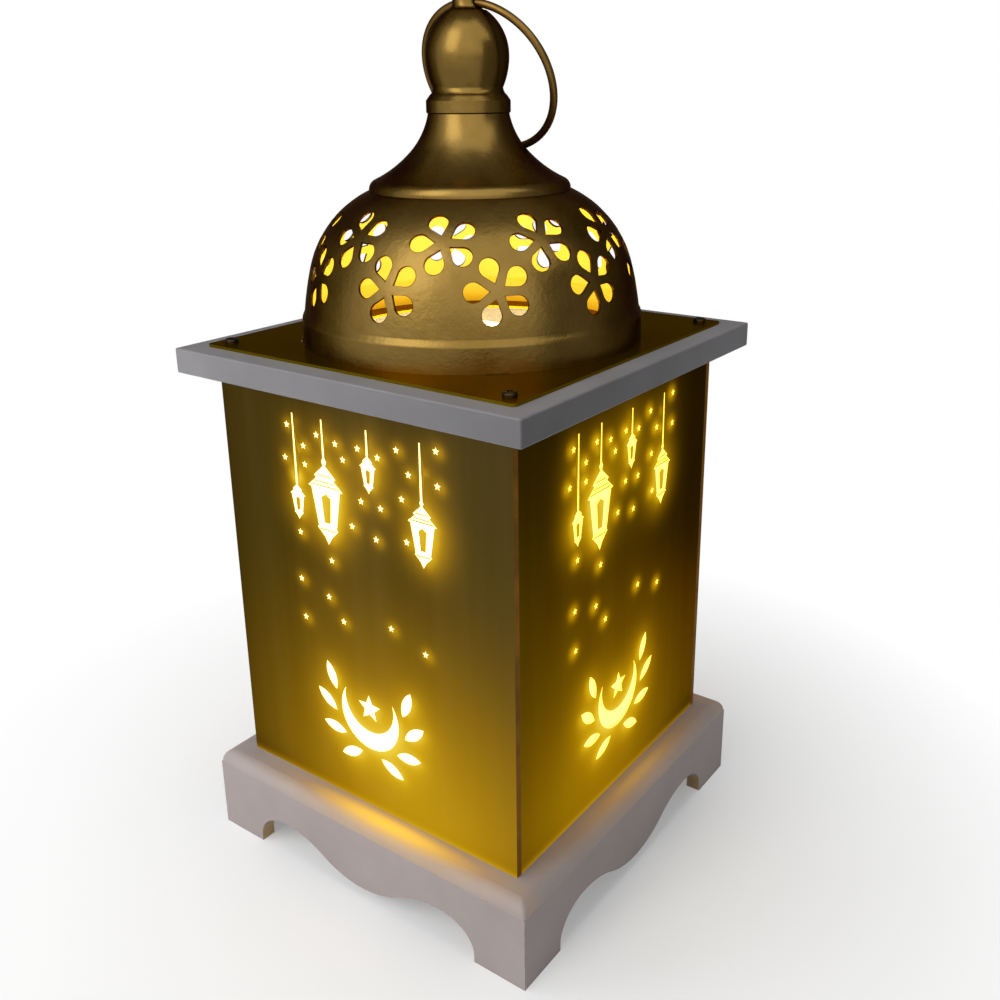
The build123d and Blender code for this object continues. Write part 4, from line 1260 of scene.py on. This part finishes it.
def add_cloth(name, outline, start, end, shade, strength=1.0):
    """Cloth round the set that only polished pieces mirror."""
    vertices = []
    for step in range(cloth_steps + 1):
        angle = radians(start + (end - start) * step / cloth_steps)
        vertices.extend((reach * cos(angle), reach * sin(angle), rise) for reach, rise in outline)
    faces = grid_faces(0, cloth_steps + 1, len(outline), loop_columns=False)
    material, tree, shader = new_material(
        name, Base_Color=(0, 0, 0), Roughness=1.0, Emission_Strength=strength
    )
    weave = place_mottle(tree, tuple(weave_share * value for value in shade), shade, 2.0, 50.0)
    feed(tree, shader, Emission_Color=weave["Color"])
    cloth = add_piece(name, vertices, faces, (material,), None)
    cloth.visible_camera = False
    cloth.visible_diffuse = False
    cloth.visible_shadow = False
    cloth.visible_transmission = False


grey_shade = (0.36, 0.34, 0.31)
white_shade = (0.97, 0.96, 0.93)
side_cloth = ((0.35, 0.002), (1.6, 0.002), (1.6, 2.2))
add_cloth("grey_cloth_right", side_cloth, -12, 38, grey_shade)
add_cloth("dark_cloth_behind", side_cloth, 38, 190, (0.12, 0.11, 0.10))
add_cloth("grey_cloth_left", side_cloth, 190, 214, grey_shade)
add_cloth("grey_ceiling", ((0.05, 2.25), (1.6, 2.25)), 0, 360, (0.30, 0.28, 0.26))
add_cloth("white_cloth_low", ((1.2, 0.05), (1.2, 0.42)), 238, 324, white_shade, 1.35)
add_cloth("white_cloth_middle", ((1.2, 0.42), (1.2, 1.0)), 238, 352, white_shade, 2.3)
add_cloth("white_cloth_high", ((1.2, 1.0), (0.9, 1.55), (0.45, 1.8)), 238, 382, white_shade, 2.3)

world = bpy.data.worlds.new("studio_white")
scene.world = world
world.use_nodes = True
world_tree = world.node_tree
ambient = add_node(world_tree, "ShaderNodeBackground", Color=(0.97, 0.98, 1.0), Strength=0.38)
backdrop = add_node(world_tree, "ShaderNodeBackground", Color=(1, 1, 1), Strength=1.0)
world_mix = add_node(
    world_tree, "ShaderNodeMixShader",
    seen_directly(world_tree), ambient.outputs["Background"], backdrop.outputs["Background"],
)
feed(world_tree, world_tree.nodes["World Output"], Surface=world_mix.outputs["Shader"])


def add_lamp(name, place, target, size, power, colour, mirrored=False):
    """Soft rectangular lamp aimed at a point of the lantern."""
    light = bpy.data.lights.new(name, "AREA")
    light.shape = "RECTANGLE"
    light.size, light.size_y = size
    light.energy = power
    light.color = colour
    lamp = bpy.data.objects.new(name, light)
    scene.collection.objects.link(lamp)
    lamp.location = place
    lamp.rotation_euler = (Vector(target) - Vector(place)).to_track_quat("-Z", "Y").to_euler()
    lamp.visible_glossy = mirrored


lantern_middle = (0, 0, 0.2)
dome_middle = (0, 0, 0.3)
lamp_white = (1.0, 0.99, 0.97)
add_lamp("front_window", (-0.12, -1.05, 0.78), lantern_middle, (0.6, 1.3), 6.4, lamp_white, mirrored=True)
add_lamp("overhead", (0.10, -0.15, 1.7), lantern_middle, (0.6, 0.6), 3.9, lamp_white)
add_lamp("left_fill", (-0.46, -0.44, 0.30), lantern_middle, (0.4, 0.4), 1.9, (0.97, 0.98, 1.0))
add_lamp("light_inside", (0, 0, 0.07), dome_middle, (0.1, 0.1), 0.5, (1.0, 0.86, 0.60))

# Camera at the photograph's viewing angle
camera_place = (0.28155, -0.35733, 0.34174)
view_azimuth = radians(35.97)
view_elevation = radians(17.836)
view_roll = radians(-0.538)
camera_data = bpy.data.cameras.new("photo_view")
camera_data.sensor_width = 36.0
camera_data.lens = 37.895
camera_data.shift_x = -0.015
camera_data.shift_y = -0.0732
camera_data.clip_start = 0.01
camera = bpy.data.objects.new("photo_view", camera_data)
scene.collection.objects.link(camera)
camera.matrix_world = Matrix.Translation(camera_place)
for turn, axis in ((view_azimuth, "Z"), (pi / 2 - view_elevation, "X"), (view_roll, "Z")):
    camera.matrix_world = camera.matrix_world @ Matrix.Rotation(turn, 4, axis)
scene.camera = camera

scene.view_settings.view_transform = "Standard"
